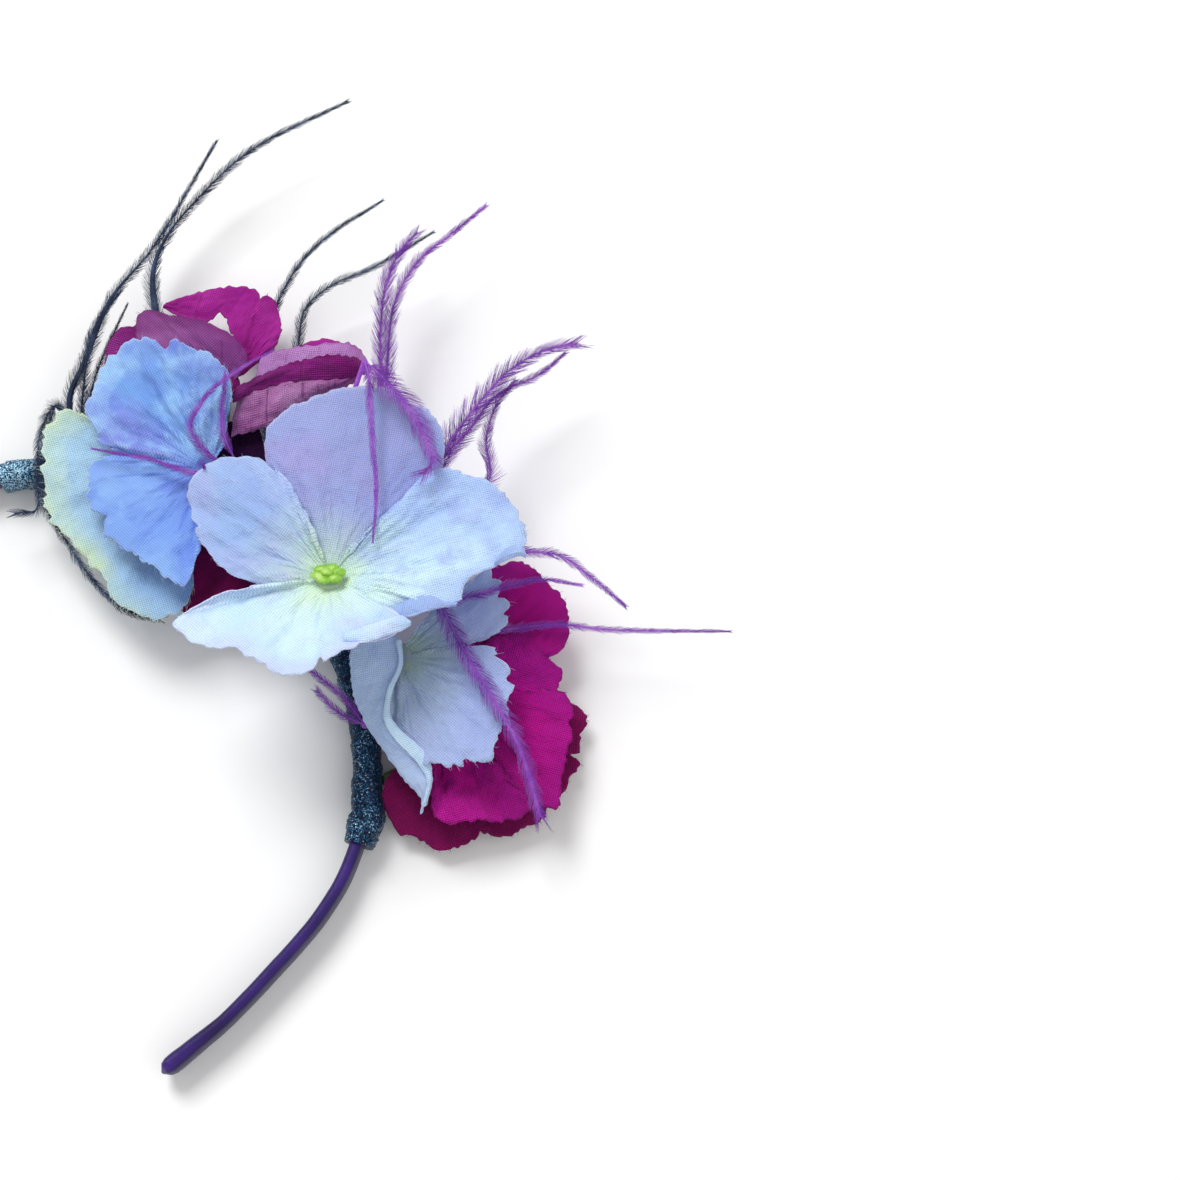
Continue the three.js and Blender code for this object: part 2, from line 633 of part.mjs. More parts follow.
// Feather plumes: a quill from the band to a head, and the fronds that part from it. A frond
// that goes over florets is lifted clear of them.
const PLUMES = {
  navy_left: {
    dye: "navy",
    head: [3, 71, 6],
    foot: { at: 88, height: 4 },
    fronds: [
      {
        wide: 3,
        through: [
          [1, 79, 9], [4.5, 87.5, 11], [9.5, 100, 13], [18, 111, 14], [31, 136, 13],
        ],
      },
      { wide: 3, through: [[4.5, 81.5, 12], [6, 92, 14], [12, 101.5, 15]] },
      { wide: 2, through: [[6.5, 86, 8], [12.5, 100.5, 9]] },
      {
        wide: 2,
        through: [
          [-1.5, 78, 9], [-2.5, 75, 9.9], [-4, 69, 9.9], [-4, 61.5, 9.9], [-2.5, 55, 9.9],
          [2, 48, 10], [7.5, 40, 10], [14.5, 33.5, 10], [22, 31.5, 10.1],
        ],
      },
      {
        wide: 2,
        through: [
          [-1.5, 78, 9], [-4.5, 72, 9.9], [-4.8, 61, 9.9], [-4.6, 55, 9.9], [-9, 54, 10.5],
        ],
      },
    ],
  },
  navy_top: {
    dye: "navy",
    head: [42, 63, 4],
    foot: { at: 52, height: 4 },
    fronds: [
      {
        wide: 4,
        through: [
          [29, 76.5, 3], [20, 93, 4], [17.5, 107, 8], [20, 115, 9], [26.5, 123.5, 10],
          [38, 134, 12], [59, 145, 13],
        ],
      },
      {
        wide: 3,
        through: [
          [42, 81, 3], [43, 98, 6], [49, 109, 10], [55.5, 115, 12], [67, 122, 14],
        ],
      },
      {
        wide: 3,
        through: [
          [47, 80.5, 4], [49, 91.5, 8], [50.5, 99, 10], [56, 103.5, 12], [64.5, 107, 13],
          [78, 114.5, 15],
        ],
      },
    ],
  },
  purple_top: {
    dye: "purple",
    head: [66, 57.5, 8],
    foot: { at: 38, height: 4 },
    fronds: [
      {
        wide: 4,
        through: [
          [66.5, 71, 11], [67, 81, 12], [67, 91.5, 15], [68, 100.5, 18], [71, 109.5, 17],
          [74.5, 114, 16],
        ],
      },
      {
        wide: 4,
        through: [
          [68, 73, 11], [68.5, 88, 13], [70, 98.5, 16], [75, 107.5, 17], [81.5, 113.5, 16],
          [89, 120.5, 15],
        ],
      },
    ],
  },
  purple_right: {
    dye: "purple",
    head: [76, 51.5, 14],
    foot: { at: 28, height: 4 },
    fronds: [
      {
        wide: 4,
        through: [
          [78.5, 59, 20], [82.5, 66.5, 22], [88.5, 75, 22], [94.5, 82, 21], [101.5, 86.5, 20],
          [108.5, 88.5, 19],
        ],
      },
      {
        wide: 3,
        through: [
          [79, 61.5, 18], [86, 69.5, 19], [91.5, 77, 19], [100.5, 82, 18], [106, 87, 17],
        ],
      },
      { wide: 3, through: [[90, 59.5, 16], [89.5, 68, 17], [91.5, 75.5, 17], [95.5, 81, 17]] },
      {
        wide: 3,
        through: [
          [88.5, 46, 16], [97.5, 44.5, 16], [105, 43.5, 16], [111, 39.5, 15], [118.5, 33.5, 13],
        ],
      },
    ],
  },
  purple_low: {
    dye: "purple",
    head: [73, 35, 21],
    foot: { at: 30, height: 8 },
    fronds: [
      {
        wide: 2,
        through: [
          [81.5, 33, 21.5], [88.5, 34, 22], [95, 36.5, 20], [102, 38, 18], [109.5, 37, 17],
        ],
      },
      {
        wide: 3,
        through: [
          [79.5, 33, 22], [84, 25, 24.2], [87, 19.5, 24.5], [93, 10, 23], [97, 2.5, 20.5],
          [101, -10.5, 15],
        ],
      },
      { wide: 3, through: [[70.5, 31.5, 20.5], [65.5, 27.5, 19]] },
    ],
  },
  purple_side: {
    dye: "purple",
    head: [78, 27, 12],
    foot: { at: 18, height: 6 },
    fronds: [
      {
        wide: 2,
        through: [
          [84.5, 28, 12.8], [93.5, 28.5, 13.5], [105, 29.5, 14], [113, 28.5, 14], [140, 28, 14],
        ],
      },
    ],
  },
  purple_inner: {
    dye: "purple",
    head: [65, 9, 10.8],
    foot: { at: 8, height: 8 },
    fronds: [
      { wide: 2, through: [[60, 15, 12], [52.5, 21, 13]] },
      { wide: 2, through: [[59.5, 11.5, 12], [55, 16, 12]] },
    ],
  },
  purple_front: {
    dye: "purple",
    head: [64.5, 83, 24],
    foot: { at: 41, height: 7 },
    fronds: [
      {
        wide: 2,
        over: true,
        through: [
          [66, 77, 31], [67, 64, 31], [68, 52, 31], [67.5, 42.5, 31.5],
        ],
      },
      {
        wide: 3,
        over: true,
        through: [
          [69, 77, 31], [74.5, 70.5, 31.5], [78.5, 62, 33], [79.5, 58.5, 34], [77.5, 56, 34],
        ],
      },
    ],
  },
  purple_left: {
    dye: "purple",
    head: [38, 62.5, 20],
    foot: { at: 58, height: 8 },
    fronds: [
      {
        wide: 2,
        over: true,
        through: [
          [34, 62.5, 22], [32, 64, 23], [29, 69, 24], [32, 75.5, 24], [38.5, 81.5, 23],
          [45.5, 86, 22],
        ],
      },
      { wide: 2, over: true, through: [[35.5, 68.5, 22], [35.5, 81.5, 22]] },
      {
        wide: 2,
        over: true,
        through: [
          [31, 59.5, 22], [20.5, 62.5, 22], [12.5, 64, 22], [8.5, 65, 21],
        ],
      },
    ],
  },
};
const CLEAR_OVER = 1.3; // from the cloth to the middle of a frond that goes over it
const LIFT_MOST = 4; // cloth further above a frond than this passes over it

const DOWN = UP.clone().negate();
const sky = new THREE.Raycaster();

// The height of the cloth that a frond's place goes over, or null beside it.
function clothUnder(place, cloth) {
  sky.set(place.clone().setZ(place.z + LIFT_MOST), DOWN);
  const hit = sky.intersectObjects(cloth)[0];
  return hit ? hit.point.z : null;
}

function frondPlaces(head, frond, cloth) {
  const points = frond.through.map((p) => new THREE.Vector3(...p));
  const line = new THREE.CatmullRomCurve3([head, ...points], false, "centripetal");
  const steps = Math.ceil(line.getLength() / (frond.over ? OVER_STEP : FROND_STEP));
  return line.getSpacedPoints(steps).map((place) => {
    const under = frond.over ? clothUnder(place, cloth) : null;
    return under === null ? place : place.setZ(Math.max(place.z, under + CLEAR_OVER));
  });
}

function frondSolid(head, frond, cloth) {
  const places = frondPlaces(head, frond, cloth);
  const last = places.length - 1;
  const geometry = new THREE.BoxGeometry(1, 1, 1, last, 1, 1);
  return bent(geometry, (x, y, z) => {
    const i = Math.round((x + 0.5) * last);
    const share = i / last;
    const before = places[Math.max(i - 1, 0)];
    const after = places[Math.min(i + 1, last)];
    const side = UP.clone().cross(after.clone().sub(before)).normalize();
    const spread = Math.min(share / 0.35, 1) * (1 - share) ** 0.5;
    const wide = THREE.MathUtils.lerp(0.9, frond.wide, spread);
    return places[i]
      .clone()
      .addScaledVector(side, y * wide)
      .addScaledVector(UP, z * FROND_THICK);
  });
}

function plumeSolid(plume, cloth) {
  const head = new THREE.Vector3(...plume.head);
  const { place } = bandAt(distanceAt(plume.foot.at));
  let solid = rod(place.setZ(plume.foot.height), head, QUILL_WIDE / 2).subtract(wrapSolid(GAP));
  for (const frond of plume.fronds) solid = solid.add(frondSolid(head, frond, cloth));
  return filled(solid);
}

// Assembly

const headband = new THREE.Group();
headband.name = "floral_headband";
const wrapBore = alongBand(distanceAt(WRAP_FROM) - 2, distanceAt(WRAP_TO) + 2, WRAP_STEPS, (d) =>
  bandSize(d, GAP),
);
headband.add(meshOf("satin_band", satinBand(), LOOKS.satin));
headband.add(meshOf("glitter_wrap", wrapSolid(0).subtract(wrapBore), LOOKS.glitter));
const cloth = [];
for (const [name, floret] of Object.entries(FLORETS)) {
  const mesh = meshOf(name + "_floret", floretSolid(floret), LOOKS[floret.cloth]);
  cloth.push(mesh);
  headband.add(mesh);
  headband.add(meshOf(name + "_stem", stemSolid(floret), LOOKS.stem));
}
headband.add(meshOf("stamen_cluster", stamenSolid(FLORETS.main), LOOKS.stamen));
for (const [name, plume] of Object.entries(PLUMES)) {
  headband.add(meshOf(name + "_plume", plumeSolid(plume, cloth), LOOKS[plume.dye]));
}

// The origin is under the middle of the whole, on the surface that it lies on.
const whole = new THREE.Box3().setFromObject(headband);
const middle = whole.getCenter(new THREE.Vector3()).setZ(whole.min.z).negate();
for (const mesh of headband.children) mesh.geometry.translate(...middle.toArray());

export default headband;
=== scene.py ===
# A floral headband, dressed over its solid model. Design sizes are in millimetres, measured
# from the centre of the head circle at the band's lower edge, as the solids were drawn.
import math

import bpy
import numpy as np
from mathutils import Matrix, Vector
from mathutils.bvhtree import BVHTree


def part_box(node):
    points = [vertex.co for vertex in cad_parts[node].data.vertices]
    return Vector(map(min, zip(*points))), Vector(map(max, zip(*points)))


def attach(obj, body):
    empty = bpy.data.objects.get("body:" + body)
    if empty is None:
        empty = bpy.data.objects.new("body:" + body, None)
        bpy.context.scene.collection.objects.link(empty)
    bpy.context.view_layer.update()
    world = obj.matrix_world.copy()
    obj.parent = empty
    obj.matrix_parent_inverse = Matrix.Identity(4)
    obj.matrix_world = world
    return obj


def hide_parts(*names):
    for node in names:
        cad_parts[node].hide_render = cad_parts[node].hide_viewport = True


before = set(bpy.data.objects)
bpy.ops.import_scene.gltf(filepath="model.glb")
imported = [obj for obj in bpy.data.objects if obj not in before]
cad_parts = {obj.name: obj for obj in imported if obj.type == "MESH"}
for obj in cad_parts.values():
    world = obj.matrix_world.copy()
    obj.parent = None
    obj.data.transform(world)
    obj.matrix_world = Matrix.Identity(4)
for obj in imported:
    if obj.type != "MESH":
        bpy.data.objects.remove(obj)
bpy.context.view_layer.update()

MM = 0.001
SPLINE_STEPS = 40
rng = np.random.default_rng(7)

# Band
BAND_THICK = 3.0
BAND_WIDE = 7.0
TIP_THICK = 4.0
TIP_TAPER = 16
TIP_NOSE = 3.2
CROWN_AIM = 68
BAND_SAMPLES = 2001
# The band's line on both sides of its crown: degrees from it, and mm from the head's centre.
BAND_LINE = [(0, 64.9), (20, 64.9), (40, 64.9), (60, 64.9), (76, 64.9), (86, 64.5), (96, 63.2),
             (109, 61.8), (122, 62.8), (129, 63.8), (136, 65.8)]

# Wound ribbon
WRAP_FROM = -13
WRAP_TO = 102
WRAP_THICK = 1.0
WRAP_BULGE = 0.4
KNOT_BULGE = 1.6
KNOT_SPREAD = 5
GAP = 0.3

# A petal has an "edge" of (aim in degrees, reach, height) round its floret's hub, or is a
# "strip" between two lines, with a place on each in every row.
FLORETS = {
    "main": {"cloth": "pale", "hub": [58.6, 36.4, 27], "leanTo": 95, "lean": 22, "petals": [
        {"name": "top", "bow": 0.6, "edge": [[35, 6.5, -1], [39, 19, -1.5], [44, 30, -1.5],
            [49, 35, -1], [59, 39.5, -1], [71, 41.5, -2], [85, 41, -3], [99, 38.5, -3],
            [112, 35.5, -2.5], [118, 30, -2.5], [122, 18.5, -2.5], [124.5, 8.5, -1.5]]},
        {"name": "left", "bow": 1.8, "edge": [[109, 6, 1], [112, 16, 0.5], [115, 23, 0],
            [119, 28, -0.5], [128, 32.5, -1], [137, 35.5, -1.5], [147, 35, -2], [157, 31, -1.5],
            [169, 25, 0], [182, 18, 1.5], [195, 10, 1.5], [207, 5, 0.5]]},
        {"name": "right", "bow": 1.5, "edge": [[327, 9.5, 2], [330, 15.5, 4], [341, 21, 6],
            [345, 27, 7.5], [356, 28.5, 7.5], [361, 34, 7], [367, 39.5, 6], [377, 40, 3.5],
            [388, 38.5, 2.5], [398, 34.5, 2.5], [405, 30.5, 2.5], [408, 20.5, 2.5],
            [411, 9.5, 1.5]]},
        {"name": "bottom", "bow": 0.4, "edge": [[191, 6.5, 1], [194, 18.5, 7], [197, 28, 7.5],
            [200, 32, 7.5], [212, 29.5, 10], [227, 24, 11.5], [245, 24, 13], [260, 23, 13.5],
            [272, 20, 14], [297, 18.5, 13], [317, 20, 11.5], [325, 19, 9.5], [328, 10, 3]]},
    ]},
    "blue": {"cloth": "blue", "hub": [31.9, 61.6, 17], "leanTo": 160, "lean": 8, "petals": [
        {"name": "upper", "bow": 1.2, "edge": [[54, 6, 1], [66, 10, 2], [75, 18, 3.5],
            [85, 22.5, 4], [98, 26, 3.5], [109, 29, 2], [122, 32.5, 0.5], [133, 32.5, -0.5],
            [147, 29.5, 0], [155, 28, 0.5], [166, 23.5, 1], [173, 12, 1]]},
        {"name": "lower", "bow": 1.2, "edge": [[170, 10, 0], [173, 20, 1], [178, 24, 1],
            [188, 25, 1], [202, 24.5, 1], [220, 24.5, 1.5], [240, 23.5, 3], [256, 25.5, 4.5],
            [262, 26, 5], [266, 22, 5.5], [269, 13.5, 3.5], [272, 6, 0.5]]},
    ]},
    "rim": {"cloth": "cream", "hub": [25, 57.5, 11.8], "leanTo": 200, "lean": 0, "petals": [
        {"name": "whole", "bow": -0.4, "edge": [[128, 9.5, 0.5], [137, 19.5, 1.5], [140, 26, 2],
            [144, 30.5, 2], [154, 31, 2], [169, 28.5, 2], [186, 27, 1.5], [201, 24, 1.5],
            [221, 22.5, 1.5], [240, 25, 1.5], [252, 27, 1.5], [265, 27, 2], [276, 24, 2],
            [282, 19.5, 1.5], [285, 10, 0.5]]},
    ]},
    "pale": {"cloth": "pale", "hub": [72, 22, 16], "leanTo": 0, "lean": 0, "petals": [
        {"name": "twisted", "bow": 0.8, "strip": [[-9.8, 3.6, 0, 0.3, 4, 2],
            [-10, -2, -0.4, 0.8, -0.3, 1.6], [-9.1, -7.9, -1, -1.3, -7, 2],
            [-6.1, -14.2, -1.5, -2, -12.3, 2.6], [-2, -20.1, -2, 0.7, -16.9, 2.2],
            [2.1, -25.4, -2.4, 5.9, -20.7, 0.5], [4.9, -28.7, -3.4, 6.8, -24.6, -1],
            [4.7, -31.5, -4, 6, -29.2, -3]]},
        {"name": "lower", "bow": 0.8, "edge": [[250, 7, 0], [257, 12.5, 0], [268, 17.5, 0],
            [286, 23, 1.5], [302, 26.5, 3], [313, 28, 3.5], [327, 26.5, 3.5], [340, 25, 3.5],
            [353, 22.5, 3.5], [364, 19, 3.5], [367, 13, 3], [370, 6.5, 1]]},
        {"name": "upper", "bow": 0.8, "edge": [[4, 8.5, 1.5], [10, 15, 2], [14, 21, 2],
            [20, 24, 2], [30, 24.5, 2], [41, 25, 2], [45, 25.5, 2], [46.2, 23, 2], [47.4, 21, 2],
            [48.6, 18, 2], [51, 15, 2], [61, 7, 1.5]]},
    ]},
    "front_magenta": {"cloth": "magenta", "hub": [82.2, 16.7, 9.8], "leanTo": 0, "lean": 0,
        "petals": [
        {"name": "upper", "bow": 0.8, "edge": [[15.5, 11, 0], [18, 21.5, 0.5], [21, 25.5, 0.5],
            [30, 28.5, 0.5], [39, 30, 0], [47, 30, 0.5], [60, 30.5, 1], [69, 28, 1],
            [76, 24, 1.5], [82, 16.5, 1.5]]},
        {"name": "right", "bow": 0.8, "edge": [[300, 20.5, 0], [308, 30.5, 0.5], [312, 33, 0.5],
            [321, 30, 0], [335, 27.5, 0], [348, 26, 0], [358, 24, 0], [359.6, 22, 0.5],
            [367, 23.5, 0.5], [381, 21, 1], [397, 19.5, 1.5], [412, 13, 1.5]]},
        {"name": "lower", "bow": 0.8, "edge": [[252, 11, 0.5], [260, 21.5, 0.5], [266, 27.5, 0],
            [282, 28, -0.5], [294, 30, -0.5], [303, 30.5, -0.5], [313, 28.5, 0], [324, 18, 0.5]]},
    ]},
    "back_magenta": {"cloth": "magenta", "hub": [84.5, 6.9, 6.5], "leanTo": 0, "lean": 0,
        "petals": [
        {"name": "left", "bow": 0.5, "edge": [[197, 11, 0], [211, 18.5, -1], [225, 22, -2],
            [238, 23, -3], [248, 22, -3.5], [259, 23.5, -3.5], [275, 21, -2.5], [285, 19, -2],
            [300, 10, -0.5]]},
        {"name": "lower", "bow": 0.5, "edge": [[269, 12.5, -1], [282, 19.5, -2], [295, 21.5, -3],
            [311, 23, -3.5], [321, 23, -3.5], [337, 21, -2.5], [344, 15, -1.5]]},
        {"name": "right", "bow": 0.5, "edge": [[324, 17.5, -1.5], [328, 23.5, -2],
            [341, 23.5, -2.5], [349, 24.5, -3], [353, 22.5, -2.5], [355.5, 24.5, -3],
            [362, 24.5, -3], [370, 26.5, -2.5], [375, 25.5, -2.5], [384, 21, -1.5],
            [386.5, 15.5, -1]]},
    ]},
    "left_magenta": {"cloth": "magenta", "hub": [34.1, 81.8, 11], "leanTo": 0, "lean": 0,
        "petals": [
        {"name": "back", "bow": 0.6, "strip": [[-14, 17.9, -1.8, -13.4, 18.6, -1.8],
            [-8.9, 15.1, -1.4, -8.8, 20.5, -2], [-4.4, 14.4, -1.2, -3.7, 22, -2],
            [-1.5, 16.4, -1.2, 1.8, 22.5, -2], [0.7, 12.6, -1.2, 5.9, 21.4, -2],
            [1.9, 8.5, -1, 6.3, 16.7, -1.4], [0.9, 1.7, -0.4, 5, 7.5, -0.6]]},
        {"name": "right", "bow": 0.6, "edge": [[38, 4.5, -1.5], [40.5, 10.5, -2], [43, 14.5, -2],
            [52, 18.5, -2], [62, 21.5, -2], [68, 22, -2], [71, 20.5, -1.5], [74, 14, -1]]},
        {"name": "front", "bow": 1.2, "edge": [[24, 3, 1], [46, 7, 1.5], [73, 9.5, 2],
            [97, 12, 2.5], [116, 15.5, 3], [130, 18.5, 3.5], [137, 22.5, 3.5], [145, 23, 3.5],
            [157, 20, 3], [168, 13, 2], [183, 5, 1]]},
        {"name": "side", "bow": 0.6, "edge": [[135, 15, 1.5], [145, 22.5, 1.5], [152, 25.5, 1.5],
            [160, 26, 1.5], [169, 26, 1.5], [178, 23.5, 1.5], [194, 16, 1]]},
    ]},
    "top_magenta": {"cloth": "magenta", "hub": [44.3, 74.4, 16], "leanTo": 0, "lean": 0,
        "petals": [
        {"name": "underside", "bow": 0.8, "strip": [[-8.1, -5.1, -1, -7, 3.6, 1],
            [-1.1, -3.5, 0, -1.5, 4.9, 2.5], [6.4, 0.6, 1, 6.5, 6.3, 3.5],
            [13.7, 3.7, 2, 13.8, 6.1, 3.5], [17.8, 5.9, 2, 17.9, 7.6, 3],
            [20.3, 8.2, 2.5, 20.5, 8.7, 2.7]]},
        {"name": "rim", "bow": 1, "strip": [[-7.8, 1.4, 1, -6.7, 5.4, 1],
            [-1.5, 4.2, 2.6, -1.4, 6.7, 3.8], [6.5, 5.6, 3.6, 6.2, 9.3, 5.6],
            [13.8, 5.4, 3.6, 14.9, 10.6, 5.8], [18.5, 7.1, 3, 19, 10, 4.2],
            [20.5, 8.5, 2.8, 20.5, 9.1, 3]]},
        {"name": "inside", "bow": 0.3, "strip": [[-3.7, 4, 1.2, -2, 12.2, 0],
            [2.3, 4.9, 2.5, 2.3, 13.2, 1], [6.5, 5.2, 3, 7.2, 13.9, 1.5],
            [11.7, 5.3, 3.2, 12.8, 14.3, 1.8], [15.8, 6, 3.2, 16.6, 14.5, 1.8],
            [18.5, 7, 2.6, 19.5, 12, 1.4], [20.5, 7.6, 2.2, 20.6, 10, 1.4]]},
        {"name": "back", "bow": 0.3, "strip": [[4.2, 9, 1.9, 5.1, 13.7, -0.5],
            [7.3, 9.4, 2, 8.8, 15.7, -0.4], [11.5, 9.4, 2, 13, 15.9, -0.4],
            [15.7, 9.4, 2, 16.4, 13.6, -0.2]]},
    ]},
    "middle_magenta": {"cloth": "magenta", "hub": [45.6, 47.9, 12], "leanTo": 0, "lean": 0,
        "petals": [
        {"name": "lower", "bow": 0.2, "edge": [[145, 15.5, -1], [179, 19, -1.5], [202, 21.5, -1],
            [218, 24, -1], [233, 19, -0.5], [250, 14, -0.5], [286, 8.5, 0]]},
        {"name": "upper", "bow": 0.4, "edge": [[71, 9, 0], [95, 17.5, 0], [99, 21.5, 0],
            [100.6, 25.5, 0], [108, 27, 0], [119, 26.5, 0], [125, 23.5, 0], [129, 18, 0],
            [131, 10, 0]]},
    ]},
}

# Fronds run from their plume's head through places, and wide is about how far their hairs
# reach, in mm. Those that are over lie on the petals under them.
PLUMES = {
    "navy_left": {"dye": "navy", "head": [3, 71, 6], "foot": {"at": 88, "height": 4}, "fronds": [
        {"wide": 3, "through": [[1, 79, 9], [4.5, 87.5, 11], [9.5, 100, 13], [18, 111, 14],
            [31, 136, 13]]},
        {"wide": 3, "through": [[4.5, 81.5, 12], [6, 92, 14], [12, 101.5, 15]]},
        {"wide": 2, "through": [[6.5, 86, 8], [12.5, 100.5, 9]]},
        {"wide": 2, "through": [[-1.5, 78, 9], [-2.5, 75, 9.9], [-4, 69, 9.9], [-4, 61.5, 9.9],
            [-2.5, 55, 9.9], [2, 48, 10], [7.5, 40, 10], [14.5, 33.5, 10], [22, 31.5, 10.1]]},
        {"wide": 2, "through": [[-1.5, 78, 9], [-4.5, 72, 9.9], [-4.8, 61, 9.9], [-4.6, 55, 9.9],
            [-9, 54, 10.5]]},
    ]},
    "navy_top": {"dye": "navy", "head": [42, 63, 4], "foot": {"at": 52, "height": 4}, "fronds": [
        {"wide": 4, "through": [[29, 76.5, 3], [20, 93, 4], [17.5, 107, 8], [20, 115, 9],
            [26.5, 123.5, 10], [38, 134, 12], [59, 145, 13]]},
        {"wide": 3, "through": [[42, 81, 3], [43, 98, 6], [49, 109, 10], [55.5, 115, 12],
            [67, 122, 14]]},
        {"wide": 3, "through": [[47, 80.5, 4], [49, 91.5, 8], [50.5, 99, 10], [56, 103.5, 12],
            [64.5, 107, 13], [78, 114.5, 15]]},
    ]},
    "purple_top": {"dye": "purple", "head": [66, 57.5, 8], "foot": {"at": 38, "height": 4},
        "fronds": [
        {"wide": 4, "through": [[66.5, 71, 11], [67, 81, 12], [67, 91.5, 15], [68, 100.5, 18],
            [71, 109.5, 17], [74.5, 114, 16]]},
        {"wide": 4, "through": [[68, 73, 11], [68.5, 88, 13], [70, 98.5, 16], [75, 107.5, 17],
            [81.5, 113.5, 16], [89, 120.5, 15]]},
    ]},
    "purple_right": {"dye": "purple", "head": [76, 51.5, 14], "foot": {"at": 28, "height": 4},
        "fronds": [
        {"wide": 4, "through": [[78.5, 59, 20], [82.5, 66.5, 22], [88.5, 75, 22], [94.5, 82, 21],
            [101.5, 86.5, 20], [108.5, 88.5, 19]]},
        {"wide": 3, "through": [[79, 61.5, 18], [86, 69.5, 19], [91.5, 77, 19], [100.5, 82, 18],
            [106, 87, 17]]},
        {"wide": 3, "through": [[90, 59.5, 16], [89.5, 68, 17], [91.5, 75.5, 17],
            [95.5, 81, 17]]},
        {"wide": 3, "through": [[88.5, 46, 16], [97.5, 44.5, 16], [105, 43.5, 16],
            [111, 39.5, 15], [118.5, 33.5, 13]]},
    ]},
    "purple_low": {"dye": "purple", "head": [73, 35, 21], "foot": {"at": 30, "height": 8},
        "fronds": [
        {"wide": 2, "through": [[81.5, 33, 21.5], [88.5, 34, 22], [95, 36.5, 20], [102, 38, 18],
            [109.5, 37, 17]]},
        {"wide": 3, "through": [[79.5, 33, 22], [84, 25, 24.2], [87, 19.5, 24.5], [93, 10, 23],
            [97, 2.5, 20.5], [101, -10.5, 15]]},
        {"wide": 3, "through": [[70.5, 31.5, 20.5], [65.5, 27.5, 19]]},
    ]},
    "purple_side": {"dye": "purple", "head": [78, 27, 12], "foot": {"at": 18, "height": 6},
        "fronds": [
        {"wide": 2, "through": [[84.5, 28, 12.8], [93.5, 28.5, 13.5], [105, 29.5, 14],
            [113, 28.5, 14], [140, 28, 14]]},
    ]},
    "purple_inner": {"dye": "purple", "head": [65, 9, 10.8], "foot": {"at": 8, "height": 8},
        "fronds": [
        {"wide": 2, "through": [[60, 15, 12], [52.5, 21, 13]]},
        {"wide": 2, "through": [[59.5, 11.5, 12], [55, 16, 12]]},
    ]},
    "purple_front": {"dye": "purple", "head": [64.5, 83, 24], "foot": {"at": 41, "height": 7},
        "fronds": [
        {"wide": 2, "over": True, "through": [[66, 77, 31], [67, 64, 31], [68, 52, 31],
            [67.5, 42.5, 31.5]]},
        {"wide": 3, "over": True, "through": [[69, 77, 31], [74.5, 70.5, 31.5], [78.5, 62, 33],
            [79.5, 58.5, 34], [77.5, 56, 34]]},
    ]},
    "purple_left": {"dye": "purple", "head": [38, 62.5, 20], "foot": {"at": 58, "height": 8},
        "fronds": [
        {"wide": 2, "over": True, "through": [[34, 62.5, 22], [32, 64, 23], [29, 69, 24],
            [32, 75.5, 24], [38.5, 81.5, 23], [45.5, 86, 22]]},
        {"wide": 2, "over": True, "through": [[35.5, 68.5, 22], [35.5, 81.5, 22]]},
        {"wide": 2, "over": True, "through": [[31, 59.5, 22], [20.5, 62.5, 22], [12.5, 64, 22],
            [8.5, 65, 21]]},
    ]},
}

# Lines and shapes


def read_off(at, run, values):
    """Rows of values, read off at places along a run."""
    return np.stack([np.interp(at, run, values[:, k]) for k in range(3)], axis=-1)


def steps_of(line):
    return np.linalg.norm(np.diff(line, axis=0), axis=1)


def run_of(line):
    """Length along a line, up to each of its places."""
    return np.concatenate([[0], np.cumsum(steps_of(line))])


def length_of(line):
    return steps_of(line).sum()


def round_turn(sides):
    return np.linspace(0, 2 * np.pi, sides, endpoint=False)


def squarish(turn, power):
    """A circle's coordinates, drawn out towards the corners of a square."""
    return [np.sign(v) * np.abs(v) ** power for v in (np.cos(turn), np.sin(turn))]


def centripetal(points, count):
    """Evenly spaced places on a centripetal Catmull-Rom curve through the points."""
    p = np.asarray(points, float)
    ends = [2 * p[0] - p[1], *p, 2 * p[-1] - p[-2]]
    dense = []
    for i in range(len(p) - 1):
        p0, p1, p2, p3 = ends[i : i + 4]
        d0, d1, d2 = (max(np.linalg.norm(b - a) ** 0.5, 1e-4) for a, b in
                      ((p0, p1), (p1, p2), (p2, p3)))
        t1 = (p1 - p0) / d0 - (p2 - p0) / (d0 + d1) + (p2 - p1) / d1
        t2 = (p2 - p1) / d1 - (p3 - p1) / (d1 + d2) + (p3 - p2) / d2
        t1, t2 = t1 * d1, t2 * d1
        u = np.linspace(0, 1, SPLINE_STEPS, endpoint=i == len(p) - 2)[:, None]
        c2, c3 = -3 * p1 + 3 * p2 - 2 * t1 - t2, 2 * p1 - 2 * p2 + t1 + t2
        dense.append(p1 + t1 * u + c2 * u**2 + c3 * u**3)
    dense = np.vstack(dense)
    run = run_of(dense)
    return read_off(np.linspace(0, run[-1], count), run, dense)


def heading(line):
    """Unit directions along a line of places."""
    d = np.gradient(line, axis=0)
    return d / np.linalg.norm(d, axis=1)[:, None]


def unit(v):
    return v / (np.linalg.norm(v, axis=-1, keepdims=True) + 1e-12)


def spin(v, axis, degrees):
    """Vectors turned about a unit axis."""
    a = math.radians(degrees)
    axis = np.asarray(axis, float)
    dot = (v @ axis)[..., None]
    return v * math.cos(a) + np.cross(axis, v) * math.sin(a) + axis * dot * (1 - math.cos(a))


